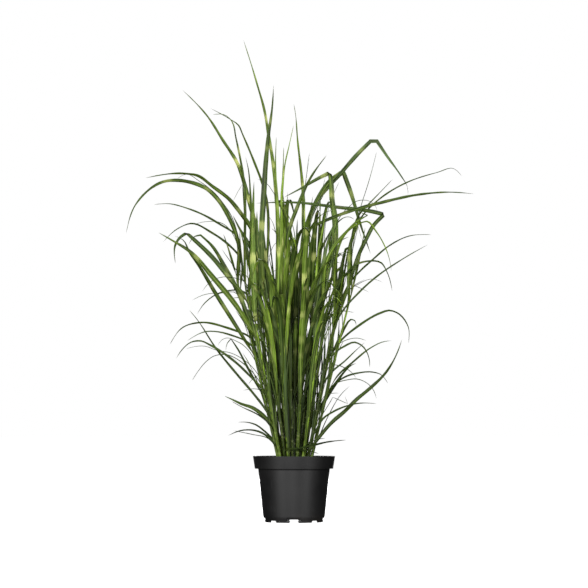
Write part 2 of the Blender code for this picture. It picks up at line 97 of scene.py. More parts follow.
view = {
    "frameWidth": 1.362,   # metres across the picture at the pot's axis
    "distance": 6.0,
    "height": 0.224,
    "aimHeight": 0.527,
    "sensor": 36,
}
studio = {
    "white": (1, 1, 1, 1),
    "floorSize": 80,
    "floorGrey": (0.8, 0.8, 0.8, 1),
    "floorGlow": 1.0,
    "floorBounce": (0.03, 0.03, 0.03, 1),      # what the floor gives back to the plant
    "skySeen": 1.0,
    "skyLight": 0.016,
    # name: place, size, watts
    "lamps": {
        "front": ((-0.3, -5.1, 0.7), 1.0, 185),
        "left": ((-3.4, -3.8, 0.7), 1.0, 205),
        "right": ((3.4, -3.8, 0.4), 1.0, 165),
        "backLeft": ((-1.5, 4.6, 2.2), 1.4, 230),
        "backRight": ((1.5, 4.6, 1.8), 1.4, 230),
    },
    "lampAim": (0, 0, 0.5),
}


def addCamera():
    tilt = math.atan2(view["aimHeight"] - view["height"], view["distance"])
    bpy.ops.object.camera_add(
        location=(0, -view["distance"], view["height"]),
        rotation=(math.pi / 2 + tilt, 0, 0),
    )
    camera = bpy.context.object
    camera.name = "photoCamera"
    camera.data.sensor_width = view["sensor"]
    camera.data.lens = view["sensor"] * view["distance"] / view["frameWidth"]
    bpy.context.scene.camera = camera


def addLamps():
    for name, (place, size, watts) in studio["lamps"].items():
        aim = Vector(studio["lampAim"]) - Vector(place)
        turn = aim.to_track_quat("-Z", "Y").to_euler()
        bpy.ops.object.light_add(type="AREA", location=place, rotation=turn)
        lamp = bpy.context.object
        lamp.name = name
        lamp.data.size = size
        lamp.data.energy = watts


def splitByRay(tree, given, seen, output):
    # the camera sees one shader, and the plant is lit by the other
    rays = put(tree, "ShaderNodeLightPath").outputs["Is Camera Ray"]
    mix = put(tree, "ShaderNodeMixShader", {"Fac": rays, 1: given, 2: seen})
    tree.links.new(mix.outputs["Shader"], tree.nodes[output].inputs["Surface"])


def addSky():
    world = bpy.data.worlds.new("paleSky")
    bpy.context.scene.world = world
    world.use_nodes = True
    tree = world.node_tree
    given = tree.nodes["Background"]
    given.inputs["Color"].default_value = studio["white"]
    given.inputs["Strength"].default_value = studio["skyLight"]
    seen = put(tree, "ShaderNodeBackground", {"Color": studio["white"], "Strength": studio["skySeen"]})
    splitByRay(tree, given.outputs["Background"], seen.outputs["Background"], "World Output")


def addFloor():
    deselectAll()
    bpy.ops.mesh.primitive_plane_add(size=studio["floorSize"])
    floor = bpy.context.object
    floor.name = "paleFloor"
    paint, tree, shader = newMaterial("paleFloor")
    # the floor glows into the white behind, so that no horizon is seen
    finish = {
        "Base Color": studio["floorGrey"],
        "Roughness": 1.0,
        "Specular IOR Level": 0.0,
        "Emission Color": studio["white"],
        "Emission Strength": studio["floorGlow"],
    }
    for name, value in finish.items():
        shader.inputs[name].default_value = value
    given = put(tree, "ShaderNodeBsdfDiffuse", {"Color": studio["floorBounce"]})
    splitByRay(tree, given.outputs["BSDF"], shader.outputs["BSDF"], "Material Output")
    floor.data.materials.append(paint)


addCamera()
addLamps()
addSky()
addFloor()
bpy.context.scene.view_settings.view_transform = "Standard"
print("studio ready")


def calc(tree, operation, first, second=0.5, third=0.5):
    sockets = {0: first, 1: second, 2: third}
    return put(tree, "ShaderNodeMath", sockets, operation=operation).outputs[0]


def times(tree, first, second):
    return calc(tree, "MULTIPLY", first, second)


def blendColours(tree, factor, first, second, kind="MIX"):
    made = put(tree, "ShaderNodeMix", {0: factor, 6: first, 7: second}, data_type="RGBA", blend_type=kind)
    return made.outputs[2]


def shadeColour(tree, colour, share):
    grey = put(tree, "ShaderNodeCombineColor", {0: share, 1: share, 2: share}).outputs[0]
    return blendColours(tree, 1.0, colour, grey, "MULTIPLY")


def rescale(tree, value, fromLow, fromHigh, toLow, toHigh, smooth=False):
    sockets = {"Value": value, "From Min": fromLow, "From Max": fromHigh, "To Min": toLow, "To Max": toHigh}
    kind = "SMOOTHSTEP" if smooth else "LINEAR"
    return put(tree, "ShaderNodeMapRange", sockets, interpolation_type=kind).outputs["Result"]


def noise(tree, place, scale, detail):
    return put(tree, "ShaderNodeTexNoise", {"Vector": place, "Scale": scale, "Detail": detail}).outputs["Fac"]


def readAttributes(tree, *names):
    return [put(tree, "ShaderNodeAttribute", attribute_name=name).outputs["Fac"] for name in names]


def objectPlace(tree):
    # the place on the object, whole and as X, Y and Z
    place = put(tree, "ShaderNodeTexCoord").outputs["Object"]
    return place, put(tree, "ShaderNodeSeparateXYZ", {0: place}).outputs


def newGroup(name, inputs, outputs):
    group = bpy.data.node_groups.new(name, "ShaderNodeTree")
    for title, value in inputs.items():
        socket = group.interface.new_socket(title, in_out="INPUT", socket_type="NodeSocketFloat")
        socket.default_value = value
    for title in outputs:
        group.interface.new_socket(title, in_out="OUTPUT", socket_type="NodeSocketFloat")
    given = group.nodes.new("NodeGroupInput").outputs
    kept = group.nodes.new("NodeGroupOutput").inputs
    return group, given, kept


def useGroup(tree, group, sockets):
    return put(tree, "ShaderNodeGroup", sockets, node_tree=group).outputs


def finishShader(tree, shader, colour, rough, height, bump):
    strength, distance = bump
    raised = put(tree, "ShaderNodeBump", {"Height": height, "Strength": strength, "Distance": distance})
    for name, value in (("Base Color", colour), ("Roughness", rough), ("Normal", raised.outputs["Normal"])):
        tree.links.new(value, shader.inputs[name])


bandForm = {
    "feather": (7, 60, 43),      # how fine the feathered edges are: across, along, from leaf to leaf
    "featherReach": 0.22,        # how far they reach, as a share of the spacing
    "leafShift": 91,             # moves the bands from leaf to leaf
    "start": 0.72,               # the noise's value where a band starts
    "amountReach": 0.2,          # what the full amount takes off that
    "softness": 0.22,
}
veinForm = {
    "along": 20,                 # how often the veins change along the leaf
    "leafShift": 57,
    "broad": 0.8,
    "fine": 1.6,
}
coreForm = {
    "heights": (0.13, 0.51),     # between these heights the clump grows from this half width to this
    "halfWidths": (0.041, 0.144),
    "lightens": (0.28, 0.93),    # from this share of the half width to this one it grows lighter
    "shade": (0.27, 1.08),
    "opens": (0.46, 0.70),       # between these heights the shade ends
}


def leafWay(group, given, *scales):
    # a place for the noise, across and along the leaf and apart from the other leaves'
    parts = [times(group, given[name], scale) for name, scale in zip(("Across", "Along", "Tone"), scales)]
    return put(group, "ShaderNodeCombineXYZ", dict(enumerate(parts))).outputs[0]


def makeBandGroup():
    # irregular cross bands along a leaf, feathered along its veins
    inputs = {"Along": 0, "Across": 0, "Tone": 0, "Spacing": 0.04, "Amount": 0.5}
    group, given, kept = newGroup("crossBands", inputs, ["Band"])
    reach = bandForm["featherReach"]
    fine = noise(group, leafWay(group, given, *bandForm["feather"]), 1.0, 2.0)
    shift = rescale(group, fine, 0.3, 0.7, -reach, reach)
    place = calc(group, "ADD", calc(group, "DIVIDE", given["Along"], given["Spacing"]), shift)
    place = calc(group, "MULTIPLY_ADD", given["Tone"], bandForm["leafShift"], place)
    wide = put(group, "ShaderNodeTexNoise", {"W": place, "Scale": 1.0, "Detail": 0.0}, noise_dimensions="1D")
    edge = calc(group, "SUBTRACT", bandForm["start"], times(group, given["Amount"], bandForm["amountReach"]))
    far = calc(group, "ADD", edge, bandForm["softness"])
    group.links.new(rescale(group, wide.outputs["Fac"], edge, far, 0, 1, smooth=True), kept["Band"])
    return group


def makeVeinGroup():
    # fine lines along a leaf or a stem: a value for colour and a height for bump
    inputs = {"Along": 0, "Across": 0, "Tone": 0, "Lines": 8}
    group, given, kept = newGroup("lengthwiseVeins", inputs, ["Streak", "Height"])
    way = leafWay(group, given, given["Lines"], veinForm["along"], veinForm["leafShift"])
    broad, fine = noise(group, way, veinForm["broad"], 2.0), noise(group, way, veinForm["fine"], 1.0)
    group.links.new(rescale(group, broad, 0.36, 0.64, 0, 1), kept["Streak"])
    group.links.new(rescale(group, fine, 0.3, 0.7, 0, 1), kept["Height"])
    return group


def makeCoreGroup():
    # little light reaches the core of the clump, where the shoots stand close
    group, given, kept = newGroup("coreShade", {"X": 0, "Y": 0, "Z": 0}, ["Shade"])
    square = calc(group, "MULTIPLY_ADD", given["X"], given["X"], times(group, given["Y"], given["Y"]))
    edge = rescale(group, given["Z"], *coreForm["heights"], *coreForm["halfWidths"])
    share = calc(group, "DIVIDE", calc(group, "SQRT", square), edge)
    shade = rescale(group, share, *coreForm["lightens"], *coreForm["shade"], smooth=True)
    opened = rescale(group, given["Z"], *coreForm["opens"], 0, 1, smooth=True)
    shade = calc(group, "MULTIPLY_ADD", opened, calc(group, "SUBTRACT", 1, shade), shade)
    group.links.new(shade, kept["Shade"])
    return group


bandGroup = makeBandGroup()
veinGroup = makeVeinGroup()
coreGroup = makeCoreGroup()


def grassPattern(tree, finish, along, across, tone):
    way = {"Along": along, "Across": across, "Tone": tone}
    veins = useGroup(tree, veinGroup, {**way, "Lines": finish["veinLines"]})
    sockets = {**way, "Spacing": finish["bandSpacing"], "Amount": finish["bandAmount"]}
    return veins, useGroup(tree, bandGroup, sockets)["Band"]


def coreShade(tree, parts):
    return useGroup(tree, coreGroup, {name: parts[name] for name in "XYZ"})["Shade"]


# a reach of three numbers: from this value to this one, and the strength or share that it starts with
bladeFinish = {
    "deep": (0.017, 0.035, 0.003, 1),
    "fresh": (0.176, 0.280, 0.022, 1),
    "root": (0.074, 0.112, 0.007, 1),
    "under": (0.044, 0.074, 0.018, 1),
    "rib": (0.24, 0.32, 0.07, 1),
    "band": (0.46, 0.50, 0.16, 1),
    "cool": (0.056, 0.088, 0.036, 1),
    "dry": (0.10, 0.085, 0.05, 1),
    "veinLines": 3.2,
    "streak": (0.38, 1.75),
    "fineStreak": (0.75, 1.25),
    "rootReach": (0, 0.3, 0.75),         # along the leaf
    "underStrength": 0.55,
    "ribReach": (0.05, 0.2, 0.75),       # from the rib to the edge
    "ribTones": (0.02, 0.3, 0.3),        # dark leaves have a fainter rib
    "ribEnds": (0.5, 0.95),              # along the leaf
    "bandSpacing": 0.034,
    "bandAmount": 0.8,
    "bandsEnd": (0.72, 0.92),
    "lowBands": (0.30, 0.66, 0.14),      # between these heights the bands grow stronger
    "lowShade": (0.14, 0.42, 0.34),      # and the leaves lighter
    "dryReach": (0.93, 1, 0, 0.8),
    "dryTones": (0.3, 0.9, 0.4),
    "roughness": (0.42, 0.58),
    "specular": 0.15,
    "bump": (0.25, 0.0004),              # strength, depth in metres
}


def makeBladeMaterial():
    material, tree, shader = newMaterial("bandedBlade")
    finish = bladeFinish
    across, along, tone, share = readAttributes(tree, "across", "along", "tone", "share")
    under, cool, banding = readAttributes(tree, "under", "cool", "banding")
    parts = objectPlace(tree)[1]
    veins, bands = grassPattern(tree, finish, along, across, tone)
    colour = blendColours(tree, tone, finish["deep"], finish["fresh"])
    colour = blendColours(tree, cool, colour, finish["cool"])
    streak = rescale(tree, veins["Streak"], 0, 1, *finish["streak"])
    streak = times(tree, streak, rescale(tree, veins["Height"], 0, 1, *finish["fineStreak"]))
    colour = shadeColour(tree, colour, streak)
    # a yellower green at the leaf's foot, darkened as painted shade low in the clump
    root = rescale(tree, share, *finish["rootReach"], 0, smooth=True)
    colour = blendColours(tree, root, colour, finish["root"])
    colour = blendColours(tree, times(tree, under, finish["underStrength"]), colour, finish["under"])
    # a pale midrib, partly a painted highlight: fainter on dark leaves and towards the tip
    rib = rescale(tree, calc(tree, "ABSOLUTE", across), *finish["ribReach"], 0, smooth=True)
    rib = times(tree, rib, rescale(tree, share, *finish["ribEnds"], 1, 0))
    rib = times(tree, rib, rescale(tree, tone, *finish["ribTones"], 1))
    colour = blendColours(tree, rib, colour, finish["rib"])
    band = times(tree, bands, banding)
    band = times(tree, band, rescale(tree, share, *finish["bandsEnd"], 1, 0))
    band = times(tree, band, rescale(tree, parts["Z"], *finish["lowBands"], 1))
    colour = blendColours(tree, band, colour, finish["band"])
    dry = rescale(tree, share, *finish["dryReach"])
    dry = times(tree, dry, rescale(tree, tone, *finish["dryTones"], 1))
    colour = blendColours(tree, dry, colour, finish["dry"])
    shade = times(tree, rescale(tree, parts["Z"], *finish["lowShade"], 1), coreShade(tree, parts))
    colour = shadeColour(tree, colour, shade)
    rough = rescale(tree, veins["Streak"], 0, 1, *finish["roughness"])
    finishShader(tree, shader, colour, rough, veins["Height"], finish["bump"])
    shader.inputs["Specular IOR Level"].default_value = finish["specular"]
    return material


stemFinish = {
    # painted shade: the low colour is the high one darkened, so the stems grow darker towards the bottom of the
    # clump
    "low": (0.027, 0.044, 0.004, 1),
    "high": (0.075, 0.122, 0.009, 1),
    "pale": (0.22, 0.27, 0.07, 1),
    "collar": (0.18, 0.21, 0.07, 1),
    "shadeFade": (0.13, 0.45),                # from the low colour to the high one between these heights
    "paleReach": (0.2, 0.55, 0.1, 0.7),    # heights and strengths of the pale bands
    "collarStrength": 0.35,
    "veinScale": (330, 410),
    "veinLines": 1.6,
    "bandSpacing": 0.060,
    "bandAmount": 0.30,
    "shade": (0.25, 1.9),                  # from stem to stem
    "streak": (0.3, 1.8),
    "roughness": (0.42, 0.60),
    "specular": 0.2,
    "bump": (0.3, 0.0004),
}


def makeStemMaterial():
    material, tree, shader = newMaterial("sheathedStem")
    finish = stemFinish
    parts = objectPlace(tree)[1]
    tone, collar = readAttributes(tree, "tone", "collar")
    side = [times(tree, parts[name], scale) for name, scale in zip("XY", finish["veinScale"])]
    veins, bands = grassPattern(tree, finish, parts["Z"], calc(tree, "ADD", *side), tone)
    # painted shade: from dark low down to lighter up the stem
    shadeFade = rescale(tree, parts["Z"], *finish["shadeFade"], 0, 1)
    colour = blendColours(tree, shadeFade, finish["low"], finish["high"])
    shade = rescale(tree, tone, 0, 1, *finish["shade"])
    shade = times(tree, shade, rescale(tree, veins["Streak"], 0, 1, *finish["streak"]))
    colour = shadeColour(tree, colour, times(tree, shade, coreShade(tree, parts)))
    band = times(tree, bands, rescale(tree, parts["Z"], *finish["paleReach"]))
    colour = blendColours(tree, band, colour, finish["pale"])
    colour = blendColours(tree, times(tree, collar, finish["collarStrength"]), colour, finish["collar"])
    rough = rescale(tree, veins["Streak"], 0, 1, *finish["roughness"])
    finishShader(tree, shader, colour, rough, veins["Height"], finish["bump"])
    shader.inputs["Specular IOR Level"].default_value = finish["specular"]
    return material


bladeMaterial = makeBladeMaterial()
stemMaterial = makeStemMaterial()
print("grass finishes ready")


# the clump grows as the solids do: every shoot and leaf starts where its solid does
clump = {
    "seed": 7,
    "shoots": 36,
    "soilTop": 0.129,
    "pocketDepth": 0.016,
    "gap": 0.0003,
    "crownRadius": 0.037,
    "seedAngle": 137.508,    # degrees from one shoot to the next
    "fanDepth": 0.150,       # how far under the soil the fan of stems meets
    "lean": (0.96, 1.04),
    "bow": (0.0, 0.03),
    "stemTop": (0.40, 0.60),
    "stemSides": 5,
    "stemLowRadius": 0.0031,
    "stemTipRadius": 0.0014,
    "stemMiddle": 0.30,
    "nodeStep": 0.016,
    "jointSide": 0.6,
    "topClear": 0.01,
    "aboveSoil": 0.012,
    # how far a leaf's joint lies under its first point: at least, and as a share of the way across
    "jointDrop": (0.025, 2.5),
    "mostLeaves": 4,
    "leastLeaves": 3,
    "triedShoots": 12,
    "depthTries": (1.0, 0.6, 1.4, 0.2, 1.7, -0.3),
    "headingTries": (0, 14, -14, 28, -28, 42, -42, 60, -60, 80, -80),
    "sideShare": 0.3,
    "mostDepth": 0.378,      # how far arched leaves reach to the front and the back
    # the outline that they keep to as seen from in front, in centimetres: up, half width
    "outline": ((15, 5.5), (28, 9), (42, 13.5), (51, 15.3), (62, 14.8), (70, 13), (78, 10.3)),
    "steepestReach": 0.9,
    "mostReach": 0.12,
    # what is drawn for an arched leaf: length, rise and droop in degrees, width
    "archedFrom": 0.24,
    "belowTop": 0.02,
    "archedDraws": ((0.28, 0.48), (72, 80), (-30, 50)),
    "archedWide": (0.007, 0.011),
    "archedTurns": (0, 25),
}


bladeForm = {
    "rootWidth": 0.55,       # share of the widest width
    "widestAt": 0.42,
    "keel": 0.16,
    "leastKeel": 0.0011,
    "tipWidth": 0.0007,
    "clearance": 0.0007,
    "creaseAngle": math.radians(75),
}

# leaves seen from in front, in centimetres: widest width, turn of the face towards the front
# at root and tip in degrees, then points (across, up); a close pair of points is a crease
crestLeaves = (
    (0.9, 75, 55, (-4.0, 74), (-4.9, 83.5), (-5.8, 89), (-7, 96), (-8.4, 101), (-10, 106.4), (-11.8, 112)),
    (1.2, 85, 60, (-7.5, 68), (-7.2, 73), (-6.5, 84), (-5.9, 90), (-5.1, 96), (-4.75, 101.5)),
    (0.9, 80, 50, (2.2, 68), (2.1, 76), (0.8, 89), (0.3, 95), (-0.05, 97)),
    (0.7, 70, 60, (-2.8, 75), (-2.0, 83.5), (-1.2, 87), (-0.1, 92)),
    (0.7, 60, 50, (-7.2, 78), (-9, 82.8), (-12, 90), (-12.9, 92), (-15, 93.5), (-19.5, 96)),
    (0.7, 60, 50, (-12.1, 82), (-13.5, 89), (-14.5, 93), (-15.8, 94.3), (-19, 94.5)),
    (1.0, 80, 50, (-9, 69), (-10.5, 74.5), (-13.3, 83.4), (-16.6, 88.6), (-19.9, 93.8), (-26, 100.3)),
    (0.6, 70, 60, (-10.1, 75.5), (-10.7, 82.2), (-11.3, 84.7)),
    (0.9, 65, 60, (-1.5, 66), (0.8, 73), (4, 80), (7.6, 85)),
    (1.3, 85, 70, (9.4, 60), (9.4, 71), (8.9, 74), (8.6, 79), (8.3, 80.9), (6, 79.8), (2, 77.5), (-2.3, 75.2)),
    (1.3, 75, 60, (2.5, 66), (5.5, 74.5), (8.5, 79), (10.9, 80.8), (11.6, 80.7), (13.2, 76.3), (15.5, 68.7),
     (17.8, 62)),
    (1.4, -90, 150, (5.5, 74), (10.9, 80.8), (15, 85.5), (17.8, 88.3), (19.3, 88.3), (21.5, 85), (25, 80),
     (26.3, 77.8), (26.5, 75.7)),
    (0.5, 55, 50, (16, 72.3), (18, 74.3), (22.9, 79.4)),
    (0.5, 55, 50, (17, 72.2), (20.9, 75.6), (26.3, 78.7), (33.3, 81), (37.2, 81.9), (39.1, 80)),
    (0.9, 55, 50, (4.5, 68.5), (9, 70.5), (14, 72.3), (19.6, 73.8), (29.4, 75.9), (36, 76.4), (41.9, 76)),
    (0.9, 65, 75, (13, 55.5), (14.8, 61.3), (16.8, 65.5), (18.3, 68.4), (20.9, 71.2), (19, 71.7), (10, 72.9),
     (0, 74), (-8.9, 73.8)),
    (0.9, 55, 50, (8.5, 62.5), (12, 67), (14.8, 69.7), (17.1, 71), (14.6, 72)),
    (0.6, 55, 50, (15, 69), (16.9, 69.6), (19.1, 67.2), (20.9, 64.2), (22.1, 61), (22.6, 58)),
    (0.5, 60, 50, (10, 69.2), (12, 70.6), (13, 70.6), (14, 70)),
    (0.6, 70, 50, (5.2, 56), (5.6, 62), (6.6, 67.5), (7.8, 73.4)),
    (0.7, 70, 60, (5.7, 61.5), (7.5, 65.5), (8.9, 68.2)),
    (1.2, 85, 60, (-9.5, 60), (-9.6, 66), (-9.5, 72), (-9.3, 79)),
    (1.1, 80, 55, (-3.6, 66), (-4.1, 77), (-4.3, 82), (-4.1, 89.3)),
    (1.0, 75, 55, (-2.8, 66), (-2.9, 75), (-2.6, 80), (-2.4, 87)),
    (1.2, 80, 60, (1.9, 49.2), (1.6, 59.5), (2.2, 68.4), (2.6, 75)),
    (1.1, 75, 50, (9.4, 44.7), (10.3, 53.6), (11.5, 61), (12, 63.1), (12.7, 63.5), (13.2, 63.1), (13.4, 59.6)),
    (0.8, 80, 70, (12.7, 57), (13.5, 65.4), (14.7, 68.4), (15.5, 71)),
    (0.7, 70, 60, (4.3, 53.5), (6.2, 58), (8.3, 61.5), (10, 64.5), (12.8, 66)),
)
leftLeaves = (
    (1.0, 75, 50, (-13, 65), (-15, 70.3), (-17, 73.8), (-20, 77), (-24, 78.7), (-30.5, 78.8), (-36.8, 73.5),
     (-39.0, 66.8)),
    (1.2, 80, 70, (-8.8, 61), (-10.8, 64.8), (-12.9, 68.4), (-14.2, 71)),
    (1.0, 70, 50, (-10.2, 68.5), (-12, 71), (-15, 74.7), (-19, 77.8), (-22.5, 80.3), (-25, 80.7), (-34.6, 79.7)),
    (0.6, 55, 50, (-14, 66.9), (-17, 68.8), (-21, 71.1), (-25, 72.7), (-29, 73.7), (-32.6, 73.5)),
    (0.6, 55, 50, (-12.7, 61.5), (-15, 64), (-19, 66.9), (-24, 69.1), (-27, 67.9), (-30.4, 64.8)),
    (1.1, 85, 70, (-10.1, 44.7), (-13, 49.4), (-19, 56.8), (-24.3, 62.7), (-28, 65), (-31.5, 67)),
    (0.9, 85, 65, (-12.2, 43.3), (-14.2, 46.5), (-18.1, 52.7), (-22.2, 59.5), (-24.2, 62.3), (-25.8, 65.3),
     (-27.7, 66.2)),
    (1.0, 85, 65, (-11.9, 52.7), (-14.2, 55.4), (-19, 61.3), (-24.9, 66.9), (-26.3, 66), (-27.3, 64.7),
     (-27.5, 59.8)),
    (1.0, 85, 65, (-10.1, 46.2), (-13, 53.3), (-16, 58.9), (-19.3, 64.2), (-21.7, 66.4), (-23, 66.1),
     (-24.5, 64.1)),
    (0.5, 55, 50, (-12.3, 53.5), (-16, 53.3), (-18.4, 52.4), (-20.7, 50.6), (-22.5, 48)),
    (0.6, 55, 50, (-11, 43.2), (-13, 44), (-15.6, 44.9), (-21.5, 46.1), (-25.7, 45), (-28.8, 40.9)),
    (0.6, 60, 50, (-6.7, 26.1), (-9.7, 30), (-12.7, 33.5), (-18, 40), (-22.7, 47.1), (-24.3, 49)),
    (0.6, 60, 50, (-7.5, 31), (-8.8, 32.3), (-13.8, 37.1), (-19.5, 40.9), (-21.5, 41.8), (-23.9, 41.5),
     (-26, 39.7), (-27.3, 37.7)),
    (0.5, 55, 50, (-11, 41.7), (-14.4, 43.1), (-17.4, 43.9), (-20.3, 44), (-24.8, 41.8)),
    (0.6, 60, 50, (-9.3, 33), (-11.2, 36.5), (-12.7, 39.4), (-14.6, 42.3), (-15.5, 41.2), (-15.8, 39.4)),
    (0.9, 85, 80, (-5.9, 23.2), (-7.3, 24.7), (-9.7, 26.4), (-12.1, 27.2), (-14.4, 28.3), (-16.2, 29.1)),
    (0.5, 60, 50, (-5.6, 19.8), (-7, 21.1), (-8.8, 22.4), (-10.9, 23), (-13, 23)),
    (0.5, 60, 50, (-5.9, 19.5), (-7.3, 20.5), (-9.1, 21.1), (-11.5, 21.2), (-15.3, 19.9)),
)
rightLeaves = (
    (0.5, 55, 50, (13.2, 55.7), (15.6, 58.3), (18.6, 61), (21.5, 63.5), (26.8, 66.2), (31.9, 66.5)),
    (0.5, 55, 50, (10.8, 48), (15, 53), (18.6, 56.3), (25, 60.7), (31.1, 64.2)),
    (0.6, 55, 50, (12.5, 57.8), (14, 59.3), (16.8, 60.3), (20.3, 59.9), (21.5, 58), (22.8, 53.3)),
    (0.6, 55, 50, (9.3, 40), (10.5, 41.5), (15.2, 45.5), (20.3, 48.4), (22, 48.9), (23.8, 48.4), (26.5, 45),
     (26.5, 41.2)),
    (0.7, 70, 60, (9.6, 40.4), (10.8, 43), (12, 45.3), (13.2, 46.8), (14.1, 46.5), (14.4, 45.3)),
    (0.5, 55, 50, (9.3, 38.9), (11.7, 40.6), (14.1, 41.5), (15.5, 40.9), (17.5, 37.1), (17.5, 35.7)),
    (0.5, 55, 50, (9.9, 33.5), (13.5, 36.8), (17.9, 40.3), (20.3, 41.5), (22.6, 41.9)),
    (0.5, 55, 50, (8.9, 34.8), (11.7, 37.1), (14.1, 39.4), (16.4, 41.5)),
    (0.8, 80, 70, (7.6, 28.8), (9.9, 32.3), (11.7, 34.7), (13.5, 36.3), (14.4, 36.6)),
    (0.5, 55, 50, (9.6, 32), (12.3, 33.7), (14.9, 34.4), (18.2, 34.6), (20, 34.1), (21.8, 31.9)),
    (0.9, 70, 50, (5.8, 19.5), (9, 23.2), (11.7, 25.5), (14.4, 28.2), (17.3, 30.6), (21.2, 34.4),
     (24.4, 40.3), (25, 42.2)),
    (0.5, 55, 50, (5.3, 21.5), (6.7, 23.8), (9, 25.4), (11.7, 26.6), (14.4, 27.3), (19.1, 27.3)),
    (0.5, 55, 50, (-1, 16.5), (2.2, 17.1), (7.5, 18.4), (12.1, 18.9)),
)

# tone from dark to light, strength of the bands and share of grey-green, for leaves by their number in
# the tables above and in fineLeaves; a fourth value narrows the leaf
leafLooks = {
    0: (0.45, 0.7, 0.2), 1: (0.05, 0.5, 0), 2: (0.4, 0.6, 0), 3: (0.7, 0.6, 0, 0.8), 4: (0.15, 0.2, 0),
    5: (0.2, 0.5, 0.2), 6: (0.35, 1.0, 0.4), 7: (0.1, 0.2, 0), 8: (0.1, 0.35, 0), 9: (0.25, 0.6, 0.2),
    10: (0.2, 0.25, 0.3), 11: (0.12, 0.2, 0.7, 0.85), 12: (0.05, 0.1, 0), 13: (0.05, 0.1, 0),
    14: (0.1, 0.2, 0.3), 15: (0.1, 0.1, 0.3), 16: (0.3, 0.2, 0), 17: (0.5, 0.3, 0), 18: (0.2, 0.2, 0),
    19: (0.6, 0.5, 0), 20: (0.15, 0.2, 0), 21: (0.4, 0.75, 0.2), 22: (0.5, 0.8, 0.1, 0.62),
    23: (0.7, 0.8, 0, 0.7), 24: (0.4, 0.7, 0.1, 0.8), 25: (0.05, 0.2, 0), 26: (0.5, 0.6, 0), 27: (0.2, 0.3, 0),
    28: (0.14, 0.3, 0.2), 29: (0.1, 0.6, 0.5), 30: (0.1, 0.2, 0), 31: (0.05, 0.1, 0.2), 32: (0.05, 0.1, 0.2),
    33: (0.2, 0.4, 0), 34: (0.05, 0.3, 0), 35: (0.05, 0.3, 0.2), 36: (0.1, 0.4, 0.2), 37: (0.03, 0.1, 0.2),
    38: (0.05, 0.1, 0), 43: (0.3, 0.2, 0.4), 46: (0.03, 0.1, 0.2), 47: (0.03, 0.1, 0.2), 49: (0.03, 0.1, 0.1),
    56: (0.05, 0.2, 0), 59: (0.3, 0.9, 0.5), 60: (0.15, 0.9, 0.3), 61: (0.2, 0.5, 0.8), 62: (0.55, 0.6, 0),
    63: (0.2, 0.4, 0.5),
}
plainLook = (0.04, 0.15, 0.2)    # the other leaves seen in the outline


def stemPoint(shoot, height):
    # a straight fan line plus a slight outward bow
    spread = 1 + (height - clump["soilTop"]) / clump["fanDepth"] * shoot["lean"]
    bow = shoot["bow"] * max(height - clump["soilTop"], 0) ** 2
    x = shoot["x"] * spread + bow * math.cos(shoot["heading"])
    y = shoot["y"] * spread + bow * math.sin(shoot["heading"])
    return Vector((x, y, height))


def stemWay(shoot, height):
    return (stemPoint(shoot, height + 0.02) - stemPoint(shoot, height)).normalized()


def planShoots(dice):
    # bases spread over the crown like the seeds of a sunflower
    shoots = []
    for number in range(clump["shoots"]):
        radius = clump["crownRadius"] * math.sqrt((number + 0.5) / clump["shoots"])
        heading = number * math.radians(clump["seedAngle"])
        shoots.append({
            "name": f"shoot_{number + 1:02d}",
            "x": radius * math.cos(heading),
            "y": radius * math.sin(heading),
            "heading": heading,
            "lean": dice.uniform(*clump["lean"]),
            "bow": dice.uniform(*clump["bow"]),
            "top": dice.uniform(*clump["stemTop"]),
            "leaves": [],
        })
    return shoots


def tubeFaces(rings, sides, tipped=False, turned=False):
    # a tube's walls, ring after ring, and its tip; turned, they face the other way
    faces = []
    for ring in range(rings):
        low, high = ring * sides, (ring + 1) * sides
        for side in range(sides):
            after = (side + 1) % sides
            if ring + 1 < rings:
                face = (low + side, low + after, high + after, high + side)
            elif tipped:
                face = (low + side, low + after, high)
            else:
                continue
            faces.append((face[0], *face[:0:-1]) if turned else face)
    return faces


def tubeMesh(points, radii, sides):
    verts = []
    for point, radius in zip(points, radii):
        for side in range(sides):
            angle = math.tau * side / sides
            verts.append(point + Vector((math.cos(angle), math.sin(angle), 0)) * radius)
    ends = [tuple(range(sides))[::-1], tuple(range(len(verts) - sides, len(verts)))]
    return verts, ends + tubeFaces(len(points), sides)


def stemRadius(shoot, height):
    share = (height - clump["soilTop"]) / (shoot["top"] - clump["soilTop"])
    return clump["stemLowRadius"] + (clump["stemTipRadius"] - clump["stemLowRadius"]) * max(share, 0)


def plainStem(shoot):
    heights = (clump["soilTop"] - clump["pocketDepth"] + clump["gap"], clump["stemMiddle"], shoot["top"])
    points = [stemPoint(shoot, height) for height in heights]
    return tubeMesh(points, [stemRadius(shoot, height) for height in heights], clump["stemSides"])


def jointPoint(shoot, height, towards):
    # inside the stem, on the side that the blade leaves by
    stem = stemPoint(shoot, height)
    side = Vector((towards.x - stem.x, towards.y - stem.y, 0)).normalized()
    return stem + side * stemRadius(shoot, height) * clump["jointSide"]


def sharesAlong(points):
    walked = [0.0]
    for before, after in zip(points, points[1:]):
        walked.append(walked[-1] + (after - before).length)
    return [distance / walked[-1] for distance in walked]


def bladeWidth(share, wide):
    if share < bladeForm["widestAt"]:
        part = math.sin(share / bladeForm["widestAt"] * math.pi / 2)
        return wide * (bladeForm["rootWidth"] + (1 - bladeForm["rootWidth"]) * part)
    part = (share - bladeForm["widestAt"]) / (1 - bladeForm["widestAt"])
    return wide * (1 - part**1.8) + bladeForm["tipWidth"] * part


def depthSide(route):
    # across a leaf that is known from the front, before it turns its face there
    return Vector((0, -1 if route[-1].x < route[0].x else 1, 0))


def levelSide(route):
    # across a leaf that bends over, so that its face is on top
    away = route[-1] - route[0]
    return Vector((-away.y, away.x, 0)).normalized()


def turnedFlat(side, way, turn):
    flat = (side - way * side.dot(way)).normalized()
    flat.rotate(Matrix.Rotation(turn, 3, way))
    return flat


